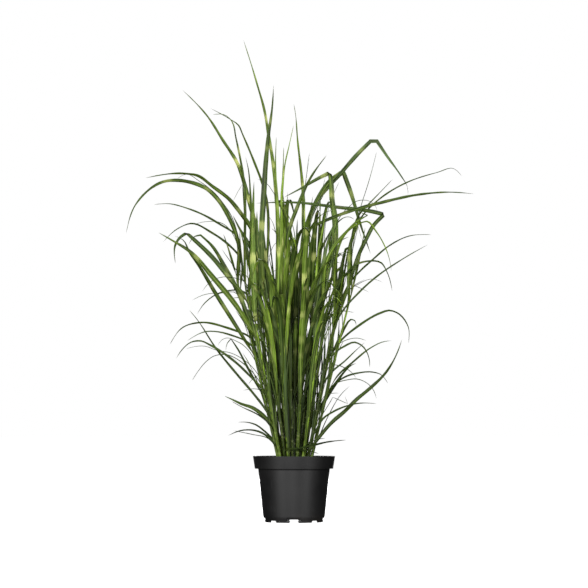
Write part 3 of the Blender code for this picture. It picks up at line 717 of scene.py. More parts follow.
def bladeFrames(route, side, turns):
    # at each point but the tip: the way along, the way across, and whether the blade is folded there
    shares = sharesAlong(route)
    hand = -1 if side.y < 0 else 1
    frames = []
    for number, point in enumerate(route[:-1]):
        before = route[max(number - 1, 0)]
        tangent = (route[number + 1] - before).normalized()
        turn = math.radians(turns[0] + (turns[1] - turns[0]) * shares[number])
        creased = number > 0 and (point - before).angle(route[number + 1] - point) > bladeForm["creaseAngle"]
        if creased:
            hand = -hand
            turn = 0
        frames.append((tangent, turnedFlat(side, tangent, turn * hand), creased))
    return shares, frames


def plainBlade(route, side, wide, turns, grown=0.0):
    # the solid's own coarse blade: edge, edge and keel at each point, closed to a point at the tip
    shares, frames = bladeFrames(route, side, turns)
    verts = []
    for point, share, (tangent, flat, creased) in zip(route, shares, frames):
        upper = tangent.cross(flat)
        width = bladeWidth(share, wide)
        keel = max(bladeForm["keel"] * width, bladeForm["leastKeel"])
        half = width / 2 + grown
        verts.append(point - flat * half + upper * grown)
        verts.append(point + flat * half + upper * grown)
        verts.append(point - upper * (keel + grown))
    verts.append(route[-1])
    tip = len(verts) - 1
    faces = [(0, 1, 2)]
    for ring in range(len(route) - 2):
        low, high = 3 * ring, 3 * ring + 3
        for corner in range(3):
            after = (corner + 1) % 3
            faces.append((low + corner, high + corner, high + after))
            faces.append((low + corner, high + after, low + after))
    for corner in range(3):
        faces.append((tip - 3 + corner, tip, tip - 3 + (corner + 1) % 3))
    return verts, faces


def onSightLine(across, up, depth):
    # the place at this depth that covers the point (across, up) as seen from in front
    nearer = 1 + depth / view["distance"]
    return Vector((across * nearer, depth, view["height"] + (up - view["height"]) * nearer))


def seenFrom(point):
    # where a point is seen, the other way round
    nearer = 1 + point.y / view["distance"]
    return point.x / nearer, view["height"] + (point.z - view["height"]) / nearer


def tracedRoute(leaf, shoot, depthShare):
    # the leaf's seen route, given depth on the shoot's own side of the clump, from its stem
    seen = [(across * 0.01, up * 0.01) for across, up in leaf[3:]]
    away = abs(seen[0][0] - stemPoint(shoot, seen[0][1]).x)
    highest = shoot["top"] - clump["topClear"] - clump["nodeStep"] * len(shoot["leaves"])
    least, slanting = clump["jointDrop"]
    joint = min(highest, seen[0][1] - max(least, slanting * away))
    joint = max(joint, clump["soilTop"] + clump["aboveSoil"])
    root = stemPoint(shoot, joint)
    spread = abs(seen[-1][0] - root.x)
    slope = abs(math.tan(shoot["heading"]))
    reach = min(spread * min(slope, clump["steepestReach"]), clump["mostReach"]) * depthShare
    if root.y < 0:
        reach = -reach
    flatRoute = [Vector((root.x, 0, root.z))] + [Vector((x, 0, z)) for x, z in seen]
    startDepth = stemPoint(shoot, seen[0][1]).y
    route = [root]
    for share, (x, z) in zip(sharesAlong(flatRoute)[1:], seen):
        depth = root.y + (startDepth - root.y) * min(share * 3, 1) + reach * share**1.4
        route.append(onSightLine(x, z, depth))
    route[0] = jointPoint(shoot, joint, route[1])
    return route


def archedRoute(shoot, joint, heading, length, rise, droop, points=6):
    towards = stemPoint(shoot, joint) + Vector((math.cos(heading), math.sin(heading), 0))
    route = [jointPoint(shoot, joint, towards)]
    step = length / points
    for number in range(points):
        share = (number + 0.5) / points
        angle = math.radians(rise - (rise + droop) * share**1.6)
        flat = math.cos(angle) * step
        move = Vector((math.cos(heading) * flat, math.sin(heading) * flat, math.sin(angle) * step))
        route.append(route[-1] + move)
    return route


def staysInOutline(route):
    ups, halves = zip(*clump["outline"])
    for point in route:
        across, up = (value * 100 for value in seenFrom(point))
        if up > ups[-1] or abs(across) > np.interp(up, ups, halves) or abs(point.y) > clump["mostDepth"]:
            return False
    return True


def isClear(shoot, mesh, trees):
    # the blade meets nothing but its own stem, which is the first of its shoot's trees
    tree = BVHTree.FromPolygons(*mesh)
    for name, grown in trees.items():
        others = grown[1:] if name == shoot["name"] else grown
        if any(tree.overlap(other) for other in others):
            return False
    return True


def meetsItself(mesh):
    # true when two faces that share no corner cross
    tree = BVHTree.FromPolygons(*mesh)
    return any(not set(mesh[1][one]) & set(mesh[1][other]) for one, other in tree.overlap(tree))


def addLeaf(shoot, route, side, wide, turns):
    shoot["leaves"].append({"route": route, "side": side, "wide": wide, "turns": turns, "looks": None})


def keepLeaf(shoot, route, side, wide, turns, trees):
    addLeaf(shoot, route, side, wide, turns)
    trees[shoot["name"]].append(BVHTree.FromPolygons(*plainBlade(route, side, wide, turns)))


def placeLeaf(shoot, route, side, wide, turns, trees):
    if meetsItself(plainBlade(route, side, wide, turns)):
        return False
    if not isClear(shoot, plainBlade(route, side, wide, turns, bladeForm["clearance"]), trees):
        return False
    keepLeaf(shoot, route, side, wide, turns, trees)
    return True


def likelyShoots(leaf, shoots, most, front=0):
    # from the likeliest to carry this leaf to the least, by where the leaf starts
    across, up = leaf[3][0] * 0.01, leaf[3][1] * 0.01

    def cost(shoot):
        stem = stemPoint(shoot, min(up, shoot["top"]))
        return abs(stem.x - across) + front * stem.y + 0.012 * len(shoot["leaves"])

    return sorted([shoot for shoot in shoots if len(shoot["leaves"]) < most], key=cost)


def growTraced(leaf, shoots, trees, most, looks=None, front=0):
    for shoot in likelyShoots(leaf, shoots, most, front)[:clump["triedShoots"]]:
        for depthShare in clump["depthTries"]:
            route = tracedRoute(leaf, shoot, depthShare)
            for side in (depthSide(route), levelSide(route)):
                if placeLeaf(shoot, route, side, leaf[0] * 0.01, leaf[1:3], trees):
                    shoot["leaves"][-1].update(side=depthSide(route), looks=looks)
                    return True
    return False


def growArched(shoot, dice, trees):
    joint = dice.uniform(clump["archedFrom"], shoot["top"] - clump["belowTop"])
    length, rise, droop = (dice.uniform(*drawn) for drawn in clump["archedDraws"])
    wide = dice.uniform(*clump["archedWide"])
    side = math.copysign(math.pi / 2, math.sin(shoot["heading"]))
    away = (shoot["heading"] - side + math.pi) % math.tau - math.pi
    for offset in clump["headingTries"]:
        heading = side + away * clump["sideShare"] + math.radians(offset)
        route = archedRoute(shoot, joint, heading, length, rise, droop)
        turns = clump["archedTurns"]
        if staysInOutline(route) and placeLeaf(shoot, route, levelSide(route), wide, turns, trees):
            return


def growClump():
    dice = random.Random(clump["seed"])
    shoots = planShoots(dice)
    trees = {shoot["name"]: [BVHTree.FromPolygons(*plainStem(shoot))] for shoot in shoots}
    for number, leaf in enumerate(crestLeaves + leftLeaves + rightLeaves):
        growTraced(leaf, shoots, trees, clump["mostLeaves"], leafLooks.get(number, plainLook))
    for shoot in shoots:
        for _ in range(2 * clump["leastLeaves"]):
            if len(shoot["leaves"]) >= clump["leastLeaves"]:
                break
            growArched(shoot, dice, trees)
    return shoots, trees


shoots, trees = growClump()
print("shoots grown as the solids:", sum(len(shoot["leaves"]) for shoot in shoots), "leaves")


# leaves past the solids: fine ones that are seen in the outline
fineLeaves = (
    (1.2, 85, 70, (-6.4, 50), (-7.6, 58), (-8.5, 66), (-8.6, 72)),
    (1.1, 80, 70, (-5.2, 48), (-6.3, 57), (-7.0, 65), (-7.4, 70.5)),
    (1.2, 85, 75, (-8.3, 50), (-9.6, 57), (-11, 63.5), (-11.4, 68)),
    (1.0, 80, 70, (-1.3, 48), (-1.9, 57), (-1.7, 65), (-1.2, 71)),
    (1.1, 80, 70, (5.2, 50), (6.6, 59), (8.2, 66), (9.6, 70)),
    (0.4, 60, 30, (2.5, 77), (3, 81), (3.6, 85.6)),
    (0.25, 40, 30, (15.5, 73), (17.4, 79), (19.2, 85.8)),
    (0.3, 40, 30, (12.5, 72.8), (14.5, 74.3), (16, 74.6), (18.5, 73.8), (19.4, 72)),
    (0.2, 40, 30, (14.9, 68.5), (15.3, 67), (15.75, 65.3)),
    (0.2, 40, 30, (6.2, 76), (6.8, 78), (7.3, 80)),
    (0.2, 40, 30, (9.4, 76.5), (10.5, 78.8)),
    (0.3, 40, 30, (-15.5, 72.5), (-18.5, 76.2), (-22, 79), (-25, 80.6), (-27.4, 79.4)),
    (0.25, 40, 30, (-18.5, 69.6), (-21.5, 69.4), (-23.3, 68.8)),
    (0.3, 40, 30, (-11.5, 55.5), (-13, 57.7), (-16.8, 63.2)),
    (0.2, 40, 30, (-12, 55.9), (-14, 56.5), (-16.3, 56.7), (-18.1, 56.3), (-20.2, 54.8), (-21.3, 53.2)),
    (0.2, 40, 30, (-14, 53.2), (-17, 52.9), (-19, 52.9), (-21.3, 52.4), (-23.7, 51.2)),
    (0.2, 40, 30, (-11, 37), (-14.5, 39), (-18, 39.7), (-20.6, 40.6), (-25.1, 40)),
    (0.3, 40, 30, (-10, 35), (-16.5, 38.7), (-18.6, 38.3), (-20.3, 37.1), (-22.1, 35), (-23.6, 32.6)),
    (0.2, 40, 30, (-13, 41.6), (-15.8, 42.5), (-16.8, 42), (-17.7, 40.7)),
    (0.2, 40, 30, (-8.5, 30.7), (-10.3, 30.7), (-11.8, 30.3)),
    (0.2, 40, 30, (-8, 34), (-9.7, 32.9), (-10.6, 31.7)),
    (0.5, 60, 30, (-6.2, 23.2), (-8.8, 25), (-11.8, 26.4), (-14.5, 27.9)),
    (0.3, 50, 30, (-5.9, 19.2), (-9.7, 20.2), (-12.1, 20.7), (-14, 21.1)),
    (0.3, 50, 30, (11.8, 52.6), (14.1, 54.8), (16.5, 56.1)),
    (0.3, 50, 30, (11, 52), (13, 54.8), (15.6, 54), (17.5, 53.1)),
    (0.2, 40, 30, (14, 54.5), (18.5, 56.2), (20.6, 55.4)),
    (0.25, 40, 30, (9.5, 40.4), (12.3, 42.1), (14.6, 42.5), (16.7, 41.9)),
    (0.3, 40, 30, (8.6, 36.2), (10.5, 36.1), (11.7, 35.6), (13.2, 34.7), (14.5, 33.1)),
    (0.3, 40, 30, (9.6, 31.9), (12.3, 32.8), (14.6, 33), (17, 32), (18.5, 30.3), (19.1, 28.3)),
    (0.3, 40, 30, (5.4, 19), (7.9, 24.4), (11.1, 29.7), (12.9, 31.4)),
    (0.3, 40, 30, (2.8, 17.9), (4, 18.6), (7.3, 19.3)),
    (0.35, 50, 30, (0, 16.2), (3.1, 16.4), (5.8, 15.7)),
    (0.5, 60, 40, (-2.2, 16.3), (1, 16.9), (4.2, 17.7), (7.5, 18.4), (10.5, 18.8)),
    (0.2, 40, 30, (9, 28.8), (12.4, 27.3), (11.8, 29.1)),
    (0.2, 40, 30, (7.4, 29.3), (8.7, 29.7), (10.5, 29.7)),
    (0.2, 40, 30, (-5.4, 62.5), (-4.6, 64.2), (-3.7, 65)),
    (0.35, 50, 30, (-4.5, 68), (-4.9, 69.3), (-6.4, 71.4)),
    (0.3, 50, 30, (-0.6, 69.5), (-1.8, 72), (-2.2, 73)),
    (0.3, 50, 30, (-4.0, 75), (-4.7, 76.2), (-6.3, 78.4), (-8.8, 79.6)),
    (0.2, 40, 30, (-12, 78.2), (-13, 76.6), (-14.1, 74.4)),
    (0.3, 60, 40, (3, 64.5), (3.6, 63.7), (4.8, 61.7)),
    (0.3, 60, 40, (3.4, 49.5), (4.2, 47.8), (5, 46), (5.8, 43.8)),
)

# and the mass between the stems
massForm = {
    "seed": 23,
    "frontBelow": 16.8,      # fine leaves that start lower than this are on shoots at the front
    "gapClearance": 0.22,
    # how many blades a shoot of each kind, and what is drawn for them: joint height, length and width in
    # metres, lean, swing and turns of the face in degrees, and how late the blade bends
    "upright": {
        "each": 5, "tries": 14, "joint": (0.145, 0.42), "length": (0.22, 0.46), "wide": (0.0042, 0.0085),
        "widening": 0.018, "lean": (8, 42), "swing": (75, 180), "bend": (1.0, 2.2), "turns": (45, 50),
        "slack": 0.3,
    },
    "slender": {
        "each": 8, "tries": 8, "joint": (0.14, 0.33), "length": (0.12, 0.32), "wide": (0.0024, 0.005),
        "lean": (5, 45), "bend": (1.0, 1.8), "turns": (45, 50), "slack": 0.2,
    },
    "arched": {
        "each": 2, "tries": 14, "joint": 0.26, "length": (0.26, 0.44), "wide": (0.006, 0.011),
        "lean": (60, 150), "swing": 50, "bend": (1.1, 1.8), "turns": (20, 30), "slack": 0.5, "lowest": 0.16,
    },
    "hair": {
        "each": 2, "tries": 14, "joint": 0.16, "length": (0.12, 0.28), "wide": (0.0018, 0.0034),
        "lean": (70, 160), "swing": 50, "bend": (1.1, 1.8), "turns": (20, 30), "slack": 0.5, "lowest": 0.16,
    },
    # seen from in front the mass stays between these, in centimetres: up, left, right
    "edges": (
        (12.9, -3.9, 3.6), (15, -4.6, 4.3), (28, -8.2, 7.5), (42, -12.6, 11.9), (51, -14.3, 13.6),
        (62, -13.8, 13.6), (70, -11.6, 12.2), (77, -9.5, 9.0),
    ),
    # gaps through the mass, in centimetres: across, up, half width, half height
    "gaps": (
        (-10.5, 57.4, 0.4, 2.2), (-6.9, 57.4, 0.4, 2), (-6.7, 53.4, 0.4, 2), (-5, 52.4, 0.4, 1.8),
        (-4.1, 48.4, 0.35, 1.8), (0.6, 53, 0.35, 2), (2.5, 53, 0.4, 2), (2.5, 59, 0.4, 2),
        (3.5, 62.6, 0.5, 2.4), (5.8, 54.5, 1.4, 4.6), (4.4, 49.6, 0.4, 2.2), (8.6, 56, 0.5, 3),
        (-11.2, 65, 0.6, 2.6), (-12.6, 63, 0.5, 2.2), (-5.8, 66.5, 0.8, 3.8), (6.1, 67.6, 0.8, 3.2),
        (8.2, 65.9, 0.6, 4), (-7.4, 61.8, 0.4, 1.6), (-7, 42, 0.5, 2.8), (-6.5, 37.7, 0.35, 1.8),
        (-2.9, 42.3, 0.35, 1.8), (-4.4, 34.8, 0.4, 2.2), (-3.5, 29.6, 0.5, 1.8), (-2.3, 21.5, 0.4, 2.8),
        (-3.6, 20.8, 0.3, 2.6), (0.2, 42, 0.35, 1.6), (1.1, 36.3, 0.35, 1.6), (2.6, 42.5, 0.35, 2.2),
        (3.3, 40, 0.6, 2.2), (3.8, 35.2, 0.5, 2), (2.3, 27.1, 0.6, 2.2), (1.7, 20.2, 0.45, 2.8),
        (6.9, 42, 0.45, 2.5), (8.1, 41.5, 0.3, 2.2), (5.2, 36.7, 0.35, 1.8), (6.3, 35.8, 0.35, 2.2),
        (7.5, 38, 0.35, 1.8), (6.5, 29.4, 0.5, 2), (4, 29.8, 0.3, 2.6), (-11.3, 60.6, 0.5, 2.5),
        (-8.1, 56.9, 0.4, 1.8), (-4.6, 64.3, 0.5, 2.2), (4, 59.7, 0.4, 1.4), (8.7, 61, 0.4, 1.6),
        (-6.2, 49.5, 0.3, 1.2), (-3.3, 48.1, 0.35, 1.6), (8.1, 47.6, 0.3, 1.6), (-4.5, 36.7, 0.3, 1.8),
        (-3.2, 17.5, 0.3, 1.8), (-0.5, 39, 0.25, 1.4), (4.5, 33, 0.3, 1.6), (5.6, 24.5, 0.3, 1.6),
        (7.6, 43.5, 0.3, 2),
    ),
}


def fanRoute(shoot, joint, heading, length, endLean, bend, points=7):
    # starts along the stem and leans over by its tip
    stem = stemPoint(shoot, joint)
    start = stemWay(shoot, joint)
    level = Vector((math.cos(heading), math.sin(heading), 0))
    end = level * math.sin(endLean) + Vector((0, 0, math.cos(endLean)))
    route = [jointPoint(shoot, joint, stem + level)]
    for number in range(points):
        share = (number + 0.5) / points
        route.append(route[-1] + start.lerp(end, share**bend).normalized() * (length / points))
    return route


def staysInMass(route, slack, offGaps=True):
    ups, lefts, rights = zip(*massForm["edges"])
    for before, after in zip(route, route[1:]):
        for part in (0.25, 0.5, 0.75, 1.0):
            across, up = (value * 100 for value in seenFrom(before.lerp(after, part)))
            left, right = np.interp(up, ups, lefts), np.interp(up, ups, rights)
            if up > ups[-1] or not left - slack < across < right + slack:
                return False
            for gapAcross, gapUp, halfWidth, halfHeight in massForm["gaps"] if offGaps else ():
                besides = (across - gapAcross) / (halfWidth + massForm["gapClearance"])
                if besides**2 + ((up - gapUp) / halfHeight) ** 2 < 1:
                    return False
    return True


def drawTurns(form, dice):
    return tuple(dice.uniform(-turn, turn) for turn in form["turns"])


def growUpright(shoot, dice, trees, form):
    # a blade that rises with the stems; a broad one stays on its own side of the clump
    lowest, highest = form["joint"]
    ownSide, anySide = form["swing"]
    for _ in range(form["tries"]):
        joint = dice.uniform(lowest, min(highest, shoot["top"] - clump["belowTop"]))
        length = dice.uniform(*form["length"])
        wide = dice.uniform(*form["wide"]) + form["widening"] * (joint - lowest)
        swing = math.radians(ownSide if wide > form["wide"][1] else anySide)
        heading = shoot["heading"] + swing * dice.uniform(-1, 1)
        lean = math.radians(dice.uniform(*form["lean"]))
        route = fanRoute(shoot, joint, heading, length, lean, dice.uniform(*form["bend"]))
        turns = drawTurns(form, dice)
        if staysInMass(route, form["slack"]) and placeLeaf(shoot, route, levelSide(route), wide, turns, trees):
            return


def growSlender(shoot, dice, trees, form):
    # a thin one that crosses them low down
    for _ in range(form["tries"]):
        joint = dice.uniform(*form["joint"])
        heading = dice.uniform(0, math.tau)
        lean = math.radians(dice.uniform(*form["lean"]))
        length = dice.uniform(*form["length"])
        route = fanRoute(shoot, joint, heading, length, lean, dice.uniform(*form["bend"]), 5)
        wide = dice.uniform(*form["wide"])
        turns = drawTurns(form, dice)
        inside = staysInMass(route, form["slack"], offGaps=False)
        if inside and placeLeaf(shoot, route, levelSide(route), wide, turns, trees):
            return


def growOver(shoot, dice, trees, form):
    # bends over towards the front or the back, so that it is seen against the mass
    side = math.copysign(math.pi / 2, math.sin(shoot["heading"]))
    front, back = cadBox[0].y, cadBox[1].y
    for _ in range(form["tries"]):
        joint = dice.uniform(form["joint"], shoot["top"] - clump["belowTop"])
        heading = side + math.radians(dice.uniform(-form["swing"], form["swing"]))
        lean = math.radians(dice.uniform(*form["lean"]))
        length = dice.uniform(*form["length"])
        route = fanRoute(shoot, joint, heading, length, lean, dice.uniform(*form["bend"]))
        wide = dice.uniform(*form["wide"])
        turns = drawTurns(form, dice)
        inside = all(front < point.y < back and point.z > form["lowest"] for point in route[1:])
        inside = inside and staysInMass(route, form["slack"])
        if inside and placeLeaf(shoot, route, levelSide(route), wide, turns, trees):
            return


def growMass():
    dice = random.Random(massForm["seed"])
    for number, leaf in enumerate(fineLeaves, len(crestLeaves + leftLeaves + rightLeaves)):
        front = 2 if leaf[3][1] < massForm["frontBelow"] else 0
        if not growTraced(leaf, shoots, trees, math.inf, leafLooks.get(number, plainLook), front):
            shoot = likelyShoots(leaf, shoots, math.inf, front)[0]
            route = tracedRoute(leaf, shoot, 1.0)
            keepLeaf(shoot, route, depthSide(route), leaf[0] * 0.01, leaf[1:3], trees)
    growers = {"arched": growOver, "upright": growUpright, "slender": growSlender, "hair": growOver}
    for shoot in shoots:
        for kind, grow in growers.items():
            for _ in range(massForm[kind]["each"]):
                grow(shoot, dice, trees, massForm[kind])


growMass()
print("mass grown:", sum(len(shoot["leaves"]) for shoot in shoots), "leaves in all")


fineForm = {
    "seed": 31,
    "step": 0.009,           # metres between rings along a blade
    "thin": 0.00028,         # a blade's thickness between edge and rib
    "fuller": 1.12,          # the finer outline is this much wider than the solid's
    "rootWay": (0.55, 0.45), # how far a blade starts along its stem, and how far along its own way
    "turnIn": 0.045,         # how far from the stem a blade has its full turn
    "wrap": 0.028,           # how far from the stem a blade's foot stays curled round it
    "wrapAngle": math.radians(210),
    "wave": 0.0004,
    "waveTurns": (90, 150),
    "bentWidth": 0.0085,     # leaves wider than this bend sharply from this angle on
    "bentAngle": math.radians(42),
    "foldedKeel": 0.35,
    "leastHalf": 0.0005,
    "stemSides": 10,
    "stemStep": 0.014,
    "stemPeak": 0.012,
    "sheath": 0.0009,
    "sheathLength": 0.085,
    "spearLength": (0.10, 0.20),
    "spearWide": (0.004, 0.007),
    "spearDrift": 0.2,
    # looks that are drawn for leaves without their own; narrow leaves are dark, as painted shade for thin blades
    # that catch little light
    "narrow": 0.0062,
    "narrowShadedTone": 0.6,
    "narrowCool": 0.3,
    "tones": (0, 0.05, 0.2, 0.4, 0.6, 0.85),
    "toneSpread": 0.15,
    "bandings": (0.1, 0.2, 0.3, 0.5, 0.8),
    "cools": (0, 0, 0, 0.3, 0.7),
}
crossPlaces = (-1, -0.5, 0, 0.5, 1, 0.5, 0, -0.5)      # round a blade: along its upper face and back under it
crossDepths = (0, 0.48, 0.78, 0.48, 0, 0.62, 1.0, 0.62)
crossUnder = (0.5, 0, 0, 0, 0.5, 1, 1, 1)
shadeNames = ("across", "along", "share", "tone", "under", "banding", "cool", "collar")


def smoothStep(values):
    values = np.clip(values, 0, 1)
    return values * values * (3 - 2 * values)


def curveThrough(points, rootWay, sharp):
    # a smooth curve through the points, with a corner where the leaf is folded
    chords = np.diff(points, axis=0)
    lengths = np.linalg.norm(chords, axis=1)
    units = chords / lengths[:, None]
    arriving, leaving = np.zeros_like(points), np.zeros_like(points)
    for number in range(1, len(points) - 1):
        if sharp[number]:
            arriving[number], leaving[number] = units[number - 1], units[number]
            continue
        before, after = lengths[number - 1], lengths[number]
        way = (units[number] * before + units[number - 1] * after) / (before + after)
        arriving[number] = leaving[number] = way
    leaving[0] = rootWay
    arriving[-1] = 1.5 * units[-1] - 0.5 * leaving[-2]
    places, segments, parts = [], [], []
    for number, length in enumerate(lengths):
        count = max(2, round(length / fineForm["step"]))
        part = np.arange(count) / count
        a, b = points[number], points[number + 1]
        square, cube = (part**2)[:, None], (part**3)[:, None]
        places.append(
            (2 * cube - 3 * square + 1) * a + (cube - 2 * square + part[:, None]) * leaving[number] * length
            + (3 * square - 2 * cube) * b + (cube - square) * arriving[number + 1] * length
        )
        segments.append(np.full(count, number))
        parts.append(part)
    places = np.concatenate(places + [points[-1:]])
    return places, np.concatenate(segments), np.concatenate(parts)


def unit(vectors):
    return vectors / np.maximum(np.linalg.norm(vectors, axis=-1, keepdims=True), 1e-9)


def foldedFlats(leaf, shares, frames):
    # the way across the leaf as it comes to each point and as it goes on, and whether it is bent sharply there
    route, side, turns = leaf["route"], leaf["side"], leaf["turns"]
    hand = -1 if side.y < 0 else 1
    coming, going, sharp = [], [], []
    for number, (_, flat, creased) in enumerate(frames):
        before = (route[number] - route[max(number - 1, 0)]).normalized()
        after = (route[number + 1] - route[number]).normalized()
        bends = number > 0 and leaf["wide"] > fineForm["bentWidth"]
        sharp.append(creased or (bends and before.angle(after) > fineForm["bentAngle"]))
        if not sharp[-1]:
            coming.append(flat)
            going.append(flat)
            continue
        turn = math.radians(turns[0] + (turns[1] - turns[0]) * shares[number])
        coming.append(turnedFlat(side, before, turn * hand))
        if creased:
            hand = -hand
        going.append(turnedFlat(side, after, turn * hand))
    coming.append(going[-1])
    coming, going = (np.array([tuple(flat) for flat in flats]) for flats in (coming, going))
    return coming, going, sharp + [False]


def bladeCourse(shoot, leaf):
    # along the blade: its middle, distances and shares of its length, ways across and up, and its folds
    route, joint = leaf["route"], leaf["route"][0]
    shares, frames = bladeFrames(route, leaf["side"], leaf["turns"])
    coming, going, sharp = foldedFlats(leaf, shares, frames)
    _, straight = bladeFrames(route, levelSide(route), (0, 0))
    stem = stemPoint(shoot, joint.z)
    outward = Vector((joint.x - stem.x, joint.y - stem.y, 0)).normalized()
    points = np.array([tuple(point) for point in route])
    points[0] = stem + outward * (stemRadius(shoot, joint.z) + fineForm["sheath"])
    chord = (route[1] - joint).normalized()
    alongStem, alongChord = fineForm["rootWay"]
    rootWay = (stemWay(shoot, joint.z) * alongStem + chord * alongChord).normalized()
    places, segments, parts = curveThrough(points, np.array(rootWay), sharp)
    along = np.concatenate([[0], np.cumsum(np.linalg.norm(np.diff(places, axis=0), axis=1))])
    keys = np.array(shares)
    share = keys[segments] + (keys[segments + 1] - keys[segments]) * parts
    ways = unit(np.gradient(places, axis=0))[:-1]
    flat = going[segments] * (1 - parts)[:, None] + coming[segments + 1] * parts[:, None]
    turned = smoothStep(along[:-1] / fineForm["turnIn"])[:, None]
    flat = np.array(straight[0][1]) * (1 - turned) + unit(flat) * turned
    flat = unit(flat - ways * np.sum(flat * ways, axis=1, keepdims=True))
    folds = [number for number, part in enumerate(parts) if part == 0 and sharp[segments[number]]]
    return places, along, share, flat, np.cross(ways, flat), folds


def bladeSizes(share, wide):
    # half the width and the depth of the keel along the blade
    half = np.array([bladeWidth(value, wide * fineForm["fuller"]) for value in share]) / 2
    half = np.maximum(half, fineForm["leastHalf"] * (1 - share**6))
    keel = np.maximum(bladeForm["keel"] * 2 * half, bladeForm["leastKeel"])
    return half, np.minimum(keel, half * 0.9 + 0.0003)


def crossSections(along, half, keel, wave):
    # how far out and up each corner lies: the foot is curled round its stem and opens into the folded blade
    across, depths = np.array(crossPlaces), np.array(crossDepths)
    curl = (1 - smoothStep(along / fineForm["wrap"]))[:, None]
    angle = np.maximum(fineForm["wrapAngle"] * curl, 1e-3)
    radius = half[:, None] / (angle / 2)
    swing = across * angle / 2
    curledRise = radius * (1 - np.cos(swing)) - fineForm["thin"] * (depths > 0.5)
    openRise = -keel[:, None] * depths + wave[:, None] * np.abs(across) * np.sign(across)
    out = radius * np.sin(swing) * curl + half[:, None] * across * (1 - curl)
    return out, curledRise * curl + openRise * (1 - curl)


def drawLooks(looks, wide, dice):
    # tone, strength of the bands and share of grey-green: drawn for every leaf, and used where it has no own
    if wide < fineForm["narrow"]:
        # narrow leaves get dark tones: painted shade
        tone = fineForm["narrowShadedTone"] * dice.uniform(0, 1) ** 3
        drawn = tone, dice.choice(fineForm["bandings"]), fineForm["narrowCool"]
    else:
        tone = dice.choice(fineForm["tones"]) + dice.uniform(0, fineForm["toneSpread"])
        drawn = tone, dice.choice(fineForm["bandings"]), dice.choice(fineForm["cools"])
    return looks[:3] or drawn


def fineBlade(shoot, leaf, dice):
    looks = leaf["looks"] or ()
    wide = leaf["wide"] * (looks[3] if len(looks) > 3 else 1)
    places, along, share, flat, upper, folds = bladeCourse(shoot, leaf)
    half, keel = bladeSizes(share, wide)
    for number in folds:
        keel[number] *= fineForm["foldedKeel"]
        flat[number] = unit(flat[number - 1] + flat[number + 1])
        upper[number] = unit(upper[number - 1] + upper[number + 1])
        half[number] /= max(float(flat[number] @ flat[number - 1]), 0.6)
    wave = np.sin(along[:-1] * dice.uniform(*fineForm["waveTurns"]) + dice.uniform(0, 6))
    wave = wave * fineForm["wave"] * min(wide / 0.009, 1)
    out, rise = crossSections(along[:-1], half, keel, wave)
    rings = places[:-1, None, :] + flat[:, None, :] * out[..., None] + upper[:, None, :] * rise[..., None]
    verts = np.concatenate([rings.reshape(-1, 3), places[-1:]])
    count, sides = len(rings), len(crossPlaces)
    faces = [tuple(range(sides))] + tubeFaces(count, sides, tipped=True, turned=True)
    tone, banding, cool = drawLooks(looks, wide, dice)
    values = {
        "across": np.append(np.tile(crossPlaces, count), 0),
        "along": np.append(np.repeat(along[:-1], sides), along[-1]) + dice.uniform(0, 3),
        "share": np.append(np.repeat(share, sides), 1),
        "under": np.append(np.tile(crossUnder, count), 0.5),
        "tone": tone, "banding": banding, "cool": cool, "collar": 0,
    }
    return verts, faces, values


def fineStem(shoot, dice):
    joints = sorted(leaf["route"][0].z for leaf in shoot["leaves"])
    low = clump["soilTop"] - clump["pocketDepth"] + clump["gap"]
    heights = list(np.arange(low, shoot["top"], fineForm["stemStep"]))
    for joint in joints:
        # three rings close together at each joint, for the collar
        heights = [height for height in heights if abs(height - joint) > 0.004]
        heights += [joint - 0.003, joint + 0.0005, joint + 0.0025]
    heights = sorted(height for height in heights if height < shoot["top"])
    sides = fineForm["stemSides"]
    verts, collar = [], []
    angles = np.arange(sides) * math.tau / sides
    circle = np.stack([np.cos(angles), np.sin(angles), np.zeros(sides)], axis=1)
    for height in heights:
        above = [joint - height for joint in joints if -0.001 < joint - height < fineForm["sheathLength"]]
        cover = max([1 - gap / fineForm["sheathLength"] for gap in above], default=0)
        radius = stemRadius(shoot, height) + fineForm["sheath"] * cover
        verts.append(np.array(stemPoint(shoot, height)) + circle * radius)
        near = min([abs(joint - height) for joint in joints], default=1)
        collar += [1.0 if near < 0.001 else 0.0] * sides
    faces = [tuple(range(sides))[::-1]] + tubeFaces(len(verts), sides, tipped=True)
    top = np.array(stemPoint(shoot, shoot["top"] + fineForm["stemPeak"]))
    verts = np.concatenate(verts + [top[None, :]])
    values = {name: 0 for name in shadeNames}
    values.update(along=verts[:, 2], tone=dice.uniform(0, 1), collar=np.array(collar + [0]))
    return verts, faces, values


def addSpear(shoot, dice):
    # the youngest leaf, which carries on from the top of the stem
    drift, parts = fineForm["spearDrift"], 4
    top = stemPoint(shoot, shoot["top"] - 0.004)
    way = (stemPoint(shoot, shoot["top"]) - stemPoint(shoot, shoot["top"] - 0.02)).normalized()
    length = dice.uniform(*fineForm["spearLength"])
    drifted = Vector((dice.uniform(-drift, drift), dice.uniform(-drift, drift), 0))
    route = [top + Vector((0.0005, 0.0003, 0))]
    for number in range(parts):
        route.append(route[-1] + (way + drifted * ((number + 0.5) / parts)).normalized() * (length / parts))
    wide = dice.uniform(*fineForm["spearWide"])
    addLeaf(shoot, route, depthSide(route), wide, (dice.uniform(20, 90), 40))


def newPiece(name, verts, faces, *materials):
    mesh = bpy.data.meshes.new(name)
    mesh.from_pydata(verts.tolist(), [], faces)
    for material in materials:
        mesh.materials.append(material)
    piece = bpy.data.objects.new(name, mesh)
    bpy.context.scene.collection.objects.link(piece)
    return piece


